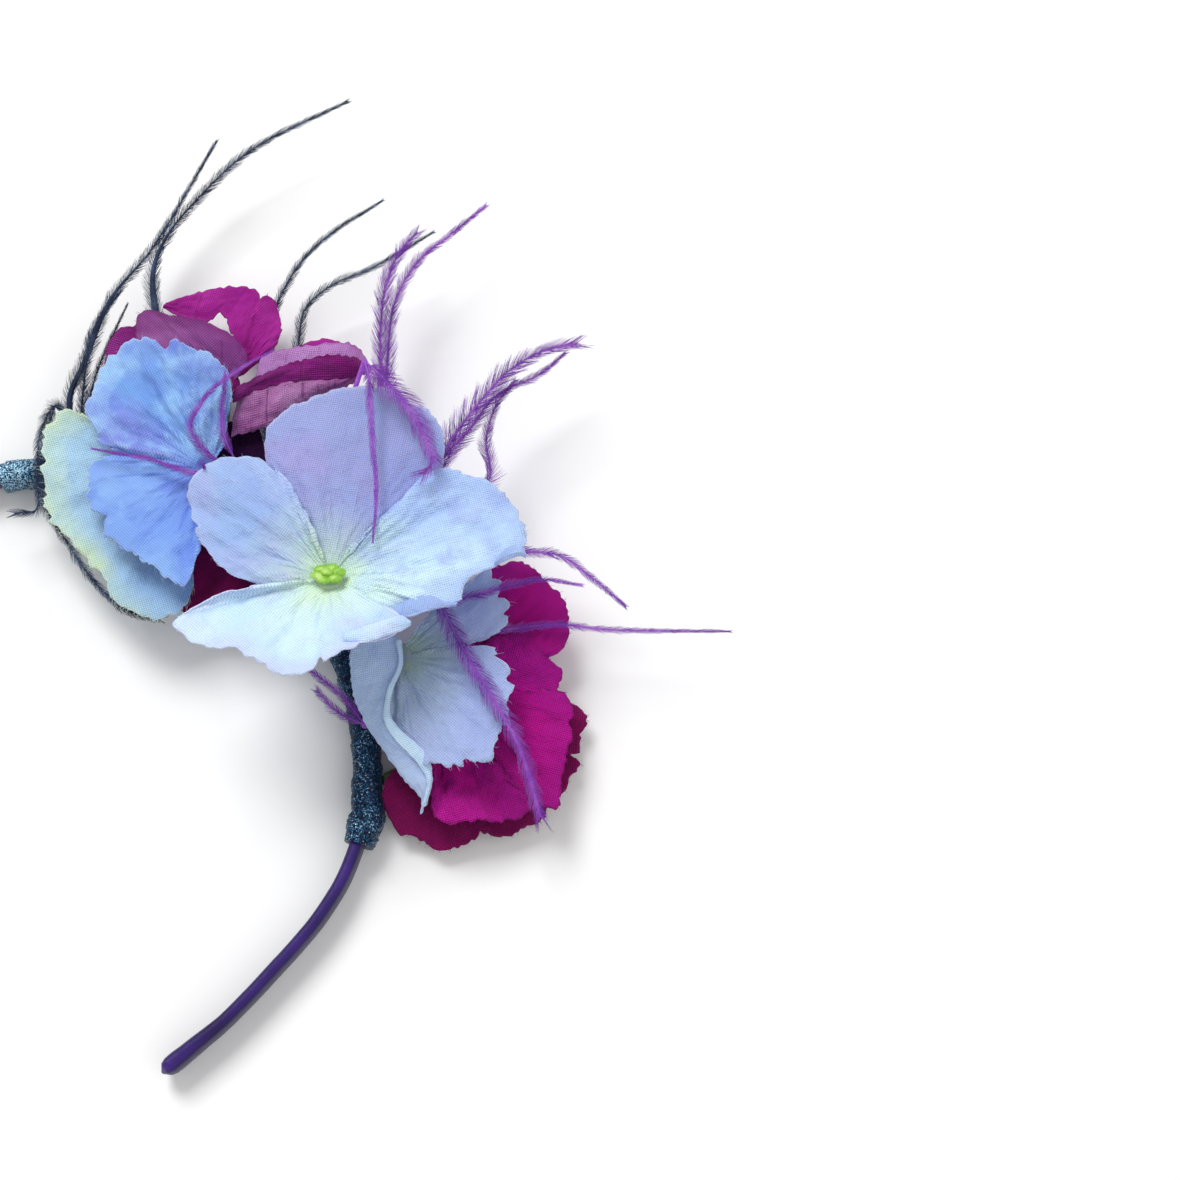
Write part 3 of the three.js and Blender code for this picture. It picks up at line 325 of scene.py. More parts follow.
def noise1(x, seed):
    """Smooth noise of one variable, about -1 to 1."""
    table = np.random.default_rng(seed).uniform(-1, 1, 257)
    i = np.floor(x).astype(int)
    f = x - i
    f = f * f * (3 - 2 * f)
    return table[i % 256] * (1 - f) + table[(i + 1) % 256] * f


def noise2(x, y, seed):
    """Smooth noise of two variables, about -1 to 1."""
    table = np.random.default_rng(seed).uniform(-1, 1, (64, 64))
    i, j = np.floor(x).astype(int), np.floor(y).astype(int)
    f, g = x - i, y - j
    f, g = f * f * (3 - 2 * f), g * g * (3 - 2 * g)
    a = table[i % 64, j % 64] * (1 - f) + table[(i + 1) % 64, j % 64] * f
    b = table[i % 64, (j + 1) % 64] * (1 - f) + table[(i + 1) % 64, (j + 1) % 64] * f
    return a * (1 - g) + b * g


def folded_noise(x, y, seed, octaves=3):
    total = 0
    for k in range(octaves):
        total = total + noise2(x * 2**k, y * 2**k, seed + k) * 0.5**k
    return total


# The band's line

def flat(degrees):
    a = math.radians(degrees)
    return np.array([math.cos(a), math.sin(a), 0.0])


line_points = [flat(CROWN_AIM - away) * reach for away, reach in BAND_LINE[:0:-1]]
line_points += [flat(CROWN_AIM + away) * reach for away, reach in BAND_LINE]
band_line = centripetal(line_points, BAND_SAMPLES)
band_run = np.linspace(0, 1, BAND_SAMPLES)
band_length = length_of(band_line)
band_heading = heading(band_line)
CROWN_REACH = BAND_LINE[0][1]


def band_at(distance):
    """Places on the band's line, by length from the crown, and their outward directions."""
    share = np.clip(0.5 + np.asarray(distance, float) / band_length, 0, 1)
    along = read_off(share, band_run, band_heading)
    return read_off(share, band_run, band_line), unit(np.cross(along, [0, 0, 1]))


def distance_at(degrees):
    return math.radians(degrees - CROWN_AIM) * CROWN_REACH


def half_thick(distance):
    """Half the band's thickness, by length from the crown: stouter towards the tips."""
    from_tip = band_length / 2 - np.abs(distance)
    return (BAND_THICK + (TIP_THICK - BAND_THICK) * np.clip(1 - from_tip / TIP_TAPER, 0, 1)) / 2


# The band's outermost places in the design frame give the shift to the row's frame. They are
# looked for at BAND_RINGS places, without the TIP_RINGS nearest each tip.
BAND_RINGS, TIP_RINGS = 43, 8
distances = np.linspace(-band_length / 2, band_length / 2, BAND_RINGS)
ring_place, ring_out = band_at(distances)
outer_side = (ring_place + ring_out * half_thick(distances)[:, None])[TIP_RINGS:-TIP_RINGS]
low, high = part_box("satin_band")
SHIFT = np.array([high.x / MM - outer_side[:, 0].max(), high.y / MM - outer_side[:, 1].max(),
                  low.z / MM])


def to_row(points):
    return (np.asarray(points) + SHIFT) * MM


# Meshes


def mesh_piece(name, points, faces, materials, node, face_slots=None, uvs=None, smooth=True):
    """A piece from design points and faces, which rides on the part and stands for a node."""
    mesh = bpy.data.meshes.new(name)
    mesh.from_pydata(to_row(points).tolist(), [], [list(f) for f in faces])
    for material in materials:
        mesh.materials.append(material)
    if face_slots is not None:
        mesh.polygons.foreach_set("material_index", np.asarray(face_slots, np.int32))
    mesh.polygons.foreach_set("use_smooth", np.full(len(faces), smooth))
    for key, uv in (uvs or {}).items():
        layer = mesh.uv_layers.new(name=key)
        corner = np.empty(len(mesh.loops), np.int32)
        mesh.loops.foreach_get("vertex_index", corner)
        layer.data.foreach_set("uv", np.asarray(uv, np.float32)[corner].ravel())
    mesh.validate()
    mesh.update()
    obj = bpy.data.objects.new(name, mesh)
    bpy.context.scene.collection.objects.link(obj)
    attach(obj, "root")
    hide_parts(node)
    return obj


def grid_faces(rows, columns, first=0, wrap=False):
    """Quads of a grid of rows by columns, whose rings close where wrap is true."""
    i, j = np.meshgrid(np.arange(rows - 1), np.arange(columns if wrap else columns - 1),
                       indexing="ij")
    k = (j + 1) % columns
    quads = np.stack([i * columns + j, i * columns + k, (i + 1) * columns + k,
                      (i + 1) * columns + j], axis=-1)
    return quads.reshape(-1, 4) + first


def tube_faces(rings, sides):
    """Faces of a tube of rings whose two ends are closed."""
    last = (rings - 1) * sides
    return grid_faces(rings, sides, 0, True).tolist() + [list(range(sides))[::-1],
                                                         list(range(last, last + sides))]


class Heap:
    """Points and faces of many parts, gathered for one mesh."""

    def __init__(self):
        self.points, self.faces, self.count = [], [], 0

    def join(self, points, faces):
        self.points.append(points)
        self.faces.extend([[v + self.count for v in face] for face in faces])
        self.count += len(points)


# Materials


class Nodes:
    """A short way to write a procedural material."""

    def __init__(self, name):
        self.material = bpy.data.materials.new(name)
        self.material.use_nodes = True
        self.tree = self.material.node_tree
        self.shader = self.tree.nodes["Principled BSDF"]

    def node(self, kind, **settings):
        made = self.tree.nodes.new("ShaderNode" + kind)
        for key, value in settings.items():
            setattr(made, key, value)
        return made

    def wire(self, source, target):
        self.tree.links.new(source, target)
        return target

    def math(self, operation, a, b=None, clamp=False):
        made = self.node("Math", operation=operation, use_clamp=clamp)
        for socket, value in zip(made.inputs, (a, b)):
            if isinstance(value, (int, float)):
                socket.default_value = value
            elif value is not None:
                self.wire(value, socket)
        return made.outputs[0]

    def add(self, a, b):
        return self.math("ADD", a, b)

    def less(self, a, b):
        return self.math("SUBTRACT", a, b)

    def times(self, a, b, clamp=False):
        return self.math("MULTIPLY", a, b, clamp)

    def above(self, value, floor, slope):
        """How far a value is above a floor, times a slope and kept from 0 to 1."""
        return self.times(self.less(value, floor), slope, clamp=True)

    def mix(self, share, a, b, blend="MIX"):
        made = self.node("Mix", data_type="RGBA", blend_type=blend)
        for key, value in ((0, share), (6, a), (7, b)):
            socket = made.inputs[key]
            if isinstance(value, (int, float)):
                socket.default_value = value
            elif isinstance(value, tuple):
                socket.default_value = (*value, 1)
            else:
                self.wire(value, socket)
        return made.outputs[2]

    def ramp(self, value, *stops):
        """Colours at places from 0 to 1."""
        made = self.node("ValToRGB")
        while len(made.color_ramp.elements) < len(stops):
            made.color_ramp.elements.new(0.5)
        for element, (at, colour) in zip(made.color_ramp.elements, stops):
            element.position = at
            element.color = (*colour, 1)
        self.wire(value, made.inputs[0])
        return made.outputs[0]

    def place(self):
        """Object coordinates in metres."""
        return self.node("TexCoord").outputs["Object"]

    def noise(self, where, scale, detail=3, rough=0.5):
        made = self.node("TexNoise")
        made.inputs["Scale"].default_value = scale
        made.inputs["Detail"].default_value = detail
        made.inputs["Roughness"].default_value = rough
        self.wire(where, made.inputs["Vector"])
        return made.outputs["Fac"]

    def wave(self, where, scale, axis, distortion=0.0, detail_scale=1.0):
        made = self.node("TexWave", wave_type="BANDS", bands_direction=axis)
        made.inputs["Scale"].default_value = scale
        made.inputs["Distortion"].default_value = distortion
        made.inputs["Detail Scale"].default_value = detail_scale
        self.wire(where, made.inputs["Vector"])
        return made.outputs["Fac"]

    def uv(self, name):
        return self.node("UVMap", uv_map=name).outputs[0]

    def split(self, vector):
        made = self.node("SeparateXYZ")
        self.wire(vector, made.inputs[0])
        return made.outputs

    def bump(self, height, distance, strength=1.0, after=None):
        made = self.node("Bump")
        made.inputs["Distance"].default_value = distance
        made.inputs["Strength"].default_value = strength
        self.wire(height, made.inputs["Height"])
        if after is not None:
            self.wire(after, made.inputs["Normal"])
        return made.outputs[0]

    def finish(self, colour, normal, **values):
        """The material, with its colour, its normal and the shader's other values."""
        self.wire(colour, self.shader.inputs["Base Color"])
        if normal is not None:
            self.wire(normal, self.shader.inputs["Normal"])
        for key, value in values.items():
            self.shader.inputs[key.replace("_", " ")].default_value = value
        return self.material


def srgb(red, green, blue):
    """A colour given as it is seen on a screen, from 0 to 255."""
    return tuple(((c / 255 + 0.055) / 1.055) ** 2.4 if c > 10 else c / 3294.6
                 for c in (red, green, blue))


PATCHY = {"detail": 4, "rough": 0.6}
WEAVE_SCALE = 7.0
WEAVE_DEPTH = 0.00022
CRUMPLE_DEPTH = 0.0016


def cloth_look(name, colours, weave=0.55, ribs=0.4, hem=None, until=2.0, heart_cm=1.2,
               end_from=0.72, patch=0.65):
    """Woven petal cloth. UV petal runs from the base (0) to the end (1) and round it (0 to 1),
    and UV cloth is in centimetres from the hub. The heart's colour fades out at heart_cm. The
    end's starts at end_from, and goes as far round as until. weave, ribs and patch are the
    strengths of the weave, of the veins and of the patches of drift and tint. The outermost
    edge may have a hem's colour."""
    heart, *places, end, drift, vein, tint = [srgb(*colour) for colour in colours]
    m = Nodes(name)
    along, across, _ = m.split(m.uv("petal"))
    where = m.place()
    soft = m.less(m.noise(where, 90), 0.5)
    base = m.ramp(m.add(across, m.times(soft, 0.5)), *zip((0.08, 0.5, 0.92), places))
    wide, long, _ = m.split(m.uv("cloth"))
    from_hub = m.math("SQRT", m.add(m.math("POWER", wide, 2.0), m.math("POWER", long, 2.0)))
    near = m.math("SUBTRACT", 1.15, m.times(m.add(from_hub, m.times(soft, 0.8)),
                                            1.15 / heart_cm), clamp=True)
    base = m.mix(near, base, heart)
    far = m.above(m.add(along, m.times(soft, 0.35)), end_from, 0.9 / (1 - end_from))
    kept = m.above(until, across, 5.0)
    base = m.mix(m.times(m.times(far, kept), 0.8), base, end)
    drifts = m.above(m.noise(where, 62, **PATCHY), 0.46, 6.0)
    base = m.mix(m.times(drifts, patch), base, drift)
    tints = m.above(m.noise(where, 78, **PATCHY), 0.5, 5.0)
    base = m.mix(m.times(tints, patch), base, tint)
    stretched = m.node("Mapping")
    stretched.inputs["Scale"].default_value = (1.0, 14.0, 1.0)
    m.wire(m.uv("petal"), stretched.inputs[0])
    rib = m.above(m.noise(stretched.outputs[0], 1.6, 2), 0.56, 9.0)
    faded = m.times(rib, m.less(1.0, m.times(along, 0.55)))
    base = m.mix(m.times(faded, ribs), base, vein)
    cloth = m.uv("cloth")
    warp, weft = (m.wave(cloth, WEAVE_SCALE, axis, 0.5, 2.0) for axis in "XY")
    threads = m.times(m.add(warp, weft), 0.5)
    threads = m.add(m.times(threads, 0.75), m.times(m.noise(cloth, 30, 2), 0.25))
    shade = m.add(1.0 - 0.52 * weave, m.times(threads, 1.04 * weave))
    grey = m.node("CombineColor")
    for socket in grey.inputs:
        m.wire(shade, socket)
    colour = m.mix(1.0, base, grey.outputs[0], "MULTIPLY")
    if hem is not None:
        colour = m.mix(m.times(m.above(along, 0.98, 60.0), 0.28), colour, srgb(*hem))
    crumple = m.bump(m.noise(where, 230, 4, 0.62), CRUMPLE_DEPTH, 0.6)
    return m.finish(colour, m.bump(threads, WEAVE_DEPTH, weave, crumple), Roughness=0.9,
                    Specular_IOR_Level=0.12, Sheen_Weight=0.04, Sheen_Roughness=0.5)


PALE_HEM = (226, 236, 255)
# Each look's colours as they are seen: its heart, three places round the petal, its end,
# drift, vein and tint. Then its settings, which cloth_look explains.
LOOK_TABLE = {
    "lilac": ([(190, 216, 204), (146, 160, 222), (152, 158, 210), (150, 172, 224),
        (154, 162, 214), (162, 154, 212), (124, 132, 190), (146, 168, 222)], {"ribs": 0.3,
        "hem": PALE_HEM, "heart_cm": 1.7}),
    "left_pale": ([(204, 230, 196), (150, 168, 226), (152, 180, 228), (160, 180, 230),
        (164, 186, 232), (184, 204, 238), (126, 152, 206), (164, 166, 220)], {"ribs": 0.5,
        "hem": PALE_HEM, "heart_cm": 1.9}),
    "right_pale": ([(206, 234, 200), (214, 240, 248), (192, 220, 248), (150, 176, 234),
        (154, 178, 236), (190, 218, 248), (142, 164, 218), (150, 164, 228)], {"ribs": 0.45,
        "hem": PALE_HEM, "heart_cm": 1.9}),
    "pale_blue": ([(150, 174, 158), (186, 202, 238), (158, 174, 224), (172, 188, 234),
        (166, 182, 226), (178, 198, 232), (124, 144, 192), (150, 156, 212)], {"ribs": 0.45,
        "hem": PALE_HEM, "heart_cm": 1.6}),
    "grey_blue": ([(168, 192, 214), (176, 198, 234), (172, 196, 236), (180, 200, 240),
        (178, 196, 238), (190, 210, 240), (140, 160, 206), (160, 180, 220)], {"ribs": 0.2,
        "hem": PALE_HEM}),
    "white": ([(212, 236, 208), (192, 220, 248), (202, 230, 252), (186, 214, 248),
        (194, 198, 240), (212, 236, 250), (168, 200, 232), (198, 204, 242)], {"ribs": 0.4,
        "hem": PALE_HEM, "heart_cm": 1.6}),
    "blue": ([(104, 138, 220), (110, 98, 190), (118, 164, 230), (136, 126, 218), (138, 166, 234),
        (162, 204, 246), (82, 116, 204), (90, 108, 204)], {"weave": 0.75, "ribs": 0.5,
        "hem": PALE_HEM, "heart_cm": 1.1, "patch": 0.85}),
    "deep_blue": ([(94, 92, 200), (132, 166, 240), (126, 164, 238), (122, 154, 236),
        (136, 174, 240), (144, 184, 244), (86, 118, 214), (104, 134, 226)], {"weave": 0.7,
        "ribs": 0.7, "hem": PALE_HEM, "heart_cm": 1.1, "patch": 0.8}),
    # The cream look's deep blue heart is painted shade, for the shadowed hollow round the rim
    # floret's hub.
    "cream": ([(84, 124, 190), (170, 208, 236), (172, 208, 232), (126, 164, 220), (212, 232, 170),
        (150, 190, 222), (132, 172, 210), (150, 184, 226)], {"weave": 0.65, "ribs": 0.35,
        "hem": (240, 242, 226), "until": 0.84, "heart_cm": 1.3, "end_from": 0.78, "patch": 0.4}),
    "magenta": ([(124, 6, 88), (170, 14, 130), (174, 12, 130), (160, 18, 138), (152, 20, 126),
        (186, 26, 146), (112, 4, 82), (140, 14, 124)], {"weave": 0.9, "ribs": 0.55,
        "hem": (110, 8, 78)}),
    "bright_magenta": ([(140, 26, 110), (154, 28, 134), (162, 36, 146), (150, 26, 128),
        (166, 46, 146), (178, 56, 160), (116, 10, 92), (132, 20, 114)], {"weave": 0.85,
        "ribs": 0.55, "hem": (112, 12, 88)}),
    "mesh": ([(112, 22, 100), (124, 30, 116), (138, 36, 126), (124, 28, 110), (120, 22, 104),
        (156, 60, 148), (92, 10, 78), (108, 20, 98)], {"weave": 1.2, "ribs": 0.5,
        "hem": (92, 8, 66)}),
    "dusty_pink": ([(136, 70, 140), (128, 58, 132), (158, 92, 160), (134, 60, 132),
        (124, 44, 118), (170, 112, 174), (104, 28, 94), (132, 62, 136)], {"weave": 1.15,
        "ribs": 0.6, "hem": (92, 8, 66)}),
    "veined_pink": ([(150, 84, 146), (150, 84, 144), (178, 120, 176), (156, 90, 150),
        (150, 70, 138), (190, 138, 190), (84, 16, 80), (150, 82, 148)], {"weave": 0.9,
        "ribs": 1.0, "hem": (104, 14, 76)}),
    "pale_pink": ([(150, 98, 156), (172, 122, 184), (180, 130, 192), (164, 108, 172),
        (158, 84, 156), (192, 146, 202), (128, 56, 126), (156, 92, 164)], {"weave": 0.9,
        "ribs": 0.4, "hem": (112, 26, 90)}),
    # A near-black magenta look that is painted shade, for the dark hollow between the florets.
    "hollow": ([(30, 4, 34), (40, 6, 44), (44, 6, 44), (52, 8, 48), (70, 8, 56), (34, 6, 50),
        (24, 4, 30), (50, 8, 58)], {"weave": 0.8}),
    # A darker copy of the magenta look, as painted shade for petals that lie in shade under the
    # others.
    "shaded_magenta": ([(74, 8, 58), (112, 10, 72), (122, 10, 78), (112, 12, 80), (132, 16, 90),
        (96, 8, 70), (72, 4, 50), (96, 10, 68)], {"weave": 0.85, "ribs": 0.45,
        "hem": (134, 30, 100)}),
}
CLOTH_NAMES = {"cream": "aqua", "mesh": "magenta_mesh"}
LOOKS = {key: cloth_look(CLOTH_NAMES.get(key, key) + "_cloth", colours, **settings)
         for key, (colours, settings) in LOOK_TABLE.items()}

# Petals

PETAL = {"ruffle": 0.3, "waves": 3, "phase": 0, "look": None, "notches": [], "fray": 0.38,
         "teeth": 0.4, "crumple": 1.15, "hairs": 26}
ROOT_REACH = 1.8
FULL_BOW_REACH = 15
ALONG = 34
ROUND = 120
STRIP_FROM_HUB = 60
PETAL_THICK = 0.3
HUB_SIDES = 20
HUB_RADIUS = 3.2
HUB_THICK = 1.6
HAIR_RADIUS = 0.035

# Torn edges and creases, in mm: widths of the fine and the coarse teeth, then the height of
# creases and pleats, their spacing, and the height and spacing of the fine creases.
FRAY_MM, TEETH_MM = 0.8, 2.4
CREASE = 0.42
CREASE_MM, PLEAT_MM = (6, 5), 4.5
FINE = 0.12
FINE_MM = (1.7, 1.5)
EDGE_SAMPLES = 400
# On petals whose middle reaches further than LARGE_REACH, cloth as near the hub as CALM_REACH
# is smooth, and gets its teeth and creases over CALM_FADE. Cloth shorter than SMALL_PETAL has
# lower creases. Each petal lies LAYER_STEP over the last.
LARGE_REACH = 15
CALM_REACH, CALM_FADE = 6, 9
SMALL_PETAL = 9
LAYER_STEP = 0.05

# What only the cloth shows, by floret and petal: its look, notches in its edge as (place round
# it from 0 to 1, depth, width), and how ragged and crumpled it is.
DRESS = {
    ("main", "top"): {"look": "lilac", "notches": [(0.42, 0.8, 1.6)]},
    ("main", "left"): {"look": "left_pale", "notches": [(0.27, 2.4, 1.1), (0.62, 1.8, 0.9)]},
    ("main", "right"): {"look": "right_pale", "notches": [(0.38, 0.9, 1.4)]},
    ("main", "bottom"): {"look": "white", "notches": [(0.66, 3.4, 0.7), (0.45, 0.9, 1.4)],
                         "teeth": 0.5},
    ("blue", "upper"): {"look": "blue", "notches": [(0.42, 1.8, 1.0), (0.8, 0.8, 1.2)],
                        "teeth": 0.6, "fray": 0.6, "crumple": 2.0},
    ("blue", "lower"): {"look": "deep_blue", "notches": [(0.37, 1.6, 0.9), (0.62, 0.8, 1.5)],
                        "teeth": 0.6, "fray": 0.6, "crumple": 1.3},
    ("rim", "whole"): {"look": "cream", "fray": 0.7, "teeth": 0.8, "hairs": 160, "bow": -0.9},
    ("pale", "twisted"): {"look": "grey_blue", "fray": 0.3},
    ("pale", "lower"): {"look": "pale_blue", "fray": 0.8, "teeth": 1.0,
                        "notches": [(0.7, 1.4, 0.6), (0.56, 1.4, 0.6)]},
    ("pale", "upper"): {"look": "pale_blue", "fray": 0.8, "teeth": 1.1,
                        "notches": [(0.2, 1.8, 0.6), (0.38, 2.0, 0.7)]},
    ("front_magenta", "upper"): {"look": "magenta"},
    ("front_magenta", "right"): {"look": "magenta", "notches": [(0.5, 0.8, 1.2)]},
    ("front_magenta", "lower"): {"look": "magenta", "crumple": 3.0},
    ("left_magenta", "back"): {"look": "bright_magenta"},
    ("left_magenta", "right"): {"look": "bright_magenta"},
    ("left_magenta", "front"): {"look": "dusty_pink"},
    ("left_magenta", "side"): {"look": "mesh"},
    ("top_magenta", "underside"): {"look": "veined_pink", "crumple": 1.4},
    ("top_magenta", "rim"): {"look": "mesh"},
    ("top_magenta", "inside"): {"look": "pale_pink"},
    ("top_magenta", "back"): {"look": "bright_magenta"},
    # The back floret's petals and the middle floret's lower petal take a darker copy of the
    # magenta look, which is painted shade.
    ("back_magenta", "left"): {"look": "shaded_magenta"},
    ("back_magenta", "lower"): {"look": "shaded_magenta"},
    ("back_magenta", "right"): {"look": "shaded_magenta"},
    ("middle_magenta", "lower"): {"look": "shaded_magenta", "ruffle": 0.1},
    # The middle floret's upper petal is coloured near black as painted shade of the hollow
    # between the florets.
    ("middle_magenta", "upper"): {"look": "hollow", "ruffle": 0.1},
}

# Folds and rolled edges that the solid model leaves out, as further strips of cloth.
FOLDS = {
    "main": [
        {"look": "left_pale", "bow": 0.5, "strip": [[4.5, -8, 4.1, 3.9, -13.1, 4.9],
            [11, -8.6, 5.1, 8.4, -12.5, 6], [16.6, -6, 6.2, 12.7, -10.4, 6.6],
            [20.2, -5.5, 6.8, 17.1, -9.7, 7.1], [23.7, -6.9, 7.5, 21.5, -8.3, 7.6],
            [26.3, -7.1, 7.6, 25.9, -7.6, 7.6]]},
        {"look": "left_pale", "bow": 0.4, "strip": [[34, 1.8, 7.4, 33.4, 0.6, 7.2],
            [35.9, 4, 7.4, 35.8, 1.8, 7.2], [38.1, 4.7, 6.9, 38.5, 2.7, 6.9],
            [39.3, 4.3, 6.4, 39.7, 2.5, 6.1]]},
        {"look": "white", "bow": 0.5, "strip": [[4.5, -14.1, 12, 4.2, -15.8, 12.3],
            [8.4, -12.7, 12.4, 8.5, -16.1, 13], [12.7, -11.3, 12.4, 12.8, -14.8, 12.9],
            [15.4, -10.6, 11.8, 15.5, -13.7, 12.1], [17.2, -11.7, 11, 17.2, -12.3, 11]]},
    ],
    "pale": [
        {"look": "white", "bow": 0.45, "strip": [[-0.5, 3.3, 2.3, 0.6, 3.3, 2.3],
            [0.2, -1.7, 2.3, 0.9, -1.7, 2.2], [-1.9, -7.5, 2.6, -1.1, -7.3, 2.4],
            [-2.6, -12.6, 3.1, -1.4, -12.3, 2.8], [-1.1, -16.2, 2.8, 0.6, -15.2, 2.6],
            [1.3, -19, 2, 3.8, -17.9, 1.8], [4.1, -21.7, 1, 6.2, -20.4, 0.8],
            [6.1, -25.1, -0.5, 7.1, -24.7, -0.6], [5.4, -29.8, -2.6, 6, -29.2, -2.8]]},
    ],
}


def fan_points(row, s, t, edge):
    """Points of a fan petal from its hub: s from the hub to the edge, and t round the edge."""
    at = np.clip(t, 0, 1) * (len(edge) - 1)
    end = read_off(at, np.arange(len(edge)), edge)
    reach = np.linalg.norm(end[..., :2], axis=-1, keepdims=True)
    root = np.concatenate([end[..., :2] / reach * ROOT_REACH, 0 * reach], axis=-1)
    place = root + (end - root) * s[..., None]
    bow = row["bow"] * np.minimum(1, np.linalg.norm(end, axis=-1) / FULL_BOW_REACH)
    wave = row["ruffle"] * s * s * np.sin(2 * np.pi * row["waves"] * t + row["phase"])
    place[..., 2] += bow * np.sin(np.pi * s) + wave
    return place


def surface_normal(p):
    return unit(np.cross(np.gradient(p, axis=0), np.gradient(p, axis=1)))


def fan_sheet(row, s, t, seed):
    """A fan petal's places and cloth UV, its length and spread, and how torn it may be."""
    edge = centripetal([flat(aim) * reach + [0, 0, height] for aim, reach, height in row["edge"]],
                       EDGE_SAMPLES)
    spread = length_of(edge)
    reach = np.linalg.norm(edge, axis=1)[np.rint(t * (EDGE_SAMPLES - 1)).astype(int)]
    mm_round = t * spread
    large = row["edge"][len(row["edge"]) // 2][1] > LARGE_REACH
    grown = np.clip((reach - CALM_REACH) / CALM_FADE, 0, 1) if large else 1
    teeth = row["fray"] * noise1(mm_round / FRAY_MM + 50, seed)
    teeth = (teeth + row["teeth"] * noise1(mm_round / TEETH_MM + 50, seed + 1)) * grown
    for at, deep, wide in row["notches"]:
        teeth = teeth - deep * np.exp(-np.abs((t - at) * spread / wide) ** 1.6)
    p = fan_points(row, s * (1 + teeth / reach * s**6), t, edge)
    middle = edge[EDGE_SAMPLES // 2]
    turn = math.atan2(middle[1], middle[0])
    cloth = np.stack([p[..., 0] * math.cos(turn) + p[..., 1] * math.sin(turn),
                      p[..., 1] * math.cos(turn) - p[..., 0] * math.sin(turn)], -1)
    return p, cloth, reach, spread, grown


def strip_sheet(row, s, t, seed):
    """A strip's places and cloth UV, its length and its spread."""
    strip = np.array(row["strip"], float)
    first, second = centripetal(strip[:, :3], ROUND), centripetal(strip[:, 3:], ROUND)
    wide = np.linalg.norm(second - first, axis=1)
    length, spread = max(wide.max(), 1.0), length_of(first)
    teeth = row["fray"] * noise1(t * spread / FRAY_MM + 50, seed) / np.maximum(wide, 1.0)[None]
    at = np.clip(s + teeth * (s - 0.5) * 2 * np.abs(2 * s - 1) ** 5, -0.1, 1.1)
    p = first[None] + (second - first)[None] * at[..., None]
    p[..., 2] += row["bow"] * np.sin(np.pi * s)
    return p, np.stack([s * length, t * spread], axis=-1) + STRIP_FROM_HUB, length, spread


def petal_sheet(row, seed):
    """A petal's middle surface with its torn edge and creases, its normals and its UV maps."""
    s, t = np.meshgrid(np.linspace(0, 1, ALONG), np.linspace(0, 1, ROUND), indexing="ij")
    if "edge" in row:
        p, cloth, length, spread, grown = fan_sheet(row, s, t, seed)
        uv = np.stack([s, t], axis=-1)
        rooted = np.clip(s * 3, 0, 1)
        calm = 0.2 + 0.8 * grown
    else:
        p, cloth, length, spread = strip_sheet(row, s, t, seed)
        uv = np.stack([0.55 + 0.45 * np.abs(2 * s - 1) ** 3, t], axis=-1)
        rooted = np.clip(np.sin(np.pi * s) * 3, 0, 1)
        calm = 1
    mm_along, mm_round = s * length, t * spread
    creases = CREASE * folded_noise(mm_along / CREASE_MM[0] + 9, mm_round / CREASE_MM[1] + 20,
                                    seed + 4)
    pleats = CREASE * noise1(mm_round / PLEAT_MM + 0.8 * noise1(s * 3, seed + 6) + 30, seed + 5)
    pleats = pleats * np.sin(np.pi * np.clip(s, 0, 1)) ** 0.7
    fine = FINE * folded_noise(mm_along / FINE_MM[0] + 40, mm_round / FINE_MM[1] + 40,
                               seed + 7, 2)
    lift = (creases + pleats + fine) * rooted * row["crumple"] * calm
    small = min(1.0, float(np.median(length)) / SMALL_PETAL)
    p = p + surface_normal(p) * (lift * small)[..., None]
    return p, surface_normal(p), uv, cloth / 10


def hairs(root, out, reach, ahead, over, radius):
    """Slim closed cones from their roots, each bent a little towards ahead and over."""
    steps = np.array([0, 0.5, 1.0])
    line = root[:, None] + out[:, None] * (reach[:, None] * steps)[..., None]
    line = line + (ahead + over)[:, None] * (reach[:, None] * steps**2)[..., None]
    thick = radius * np.array([1.0, 0.75, 0.3])
    wide = unit(np.cross(out, [0.31, 0.22, 0.92]))
    deep = np.cross(out, wide)
    turn = round_turn(3)
    ring = (wide[:, None, None] * np.cos(turn)[None, None, :, None]
            + deep[:, None, None] * np.sin(turn)[None, None, :, None])
    points = (line[:, :, None] + ring * thick[None, :, None, None]).reshape(-1, 3)
    one = grid_faces(3, 3, 0, True)
    quads = (one[None] + 9 * np.arange(len(root))[:, None, None]).reshape(-1, 4)
    ends = [[k * 9 + 2, k * 9 + 1, k * 9] for k in range(len(root))]
    ends += [[k * 9 + 6, k * 9 + 7, k * 9 + 8] for k in range(len(root))]
    return points, quads.tolist() + ends


def floret_frame(floret):
    axis = np.cross([0, 0, 1], flat(floret["leanTo"]))
    return lambda v: spin(v, axis, floret["lean"]) + np.array(floret["hub"], float)


def hub_points():
    """The small disc that a floret's petals are gathered on."""
    turn = round_turn(HUB_SIDES)
    rings = [(0.0, -0.5), (0.8, -0.5), (1.0, -0.3), (1.0, 0.3), (0.8, 0.5), (0.0, 0.5)]
    points = [[HUB_RADIUS * r * math.cos(a) + 1e-3 * (r == 0) * math.cos(a),
               HUB_RADIUS * r * math.sin(a) + 1e-3 * (r == 0) * math.sin(a), HUB_THICK * h]
              for r, h in rings for a in turn]
    return np.array(points), tube_faces(len(rings), HUB_SIDES)


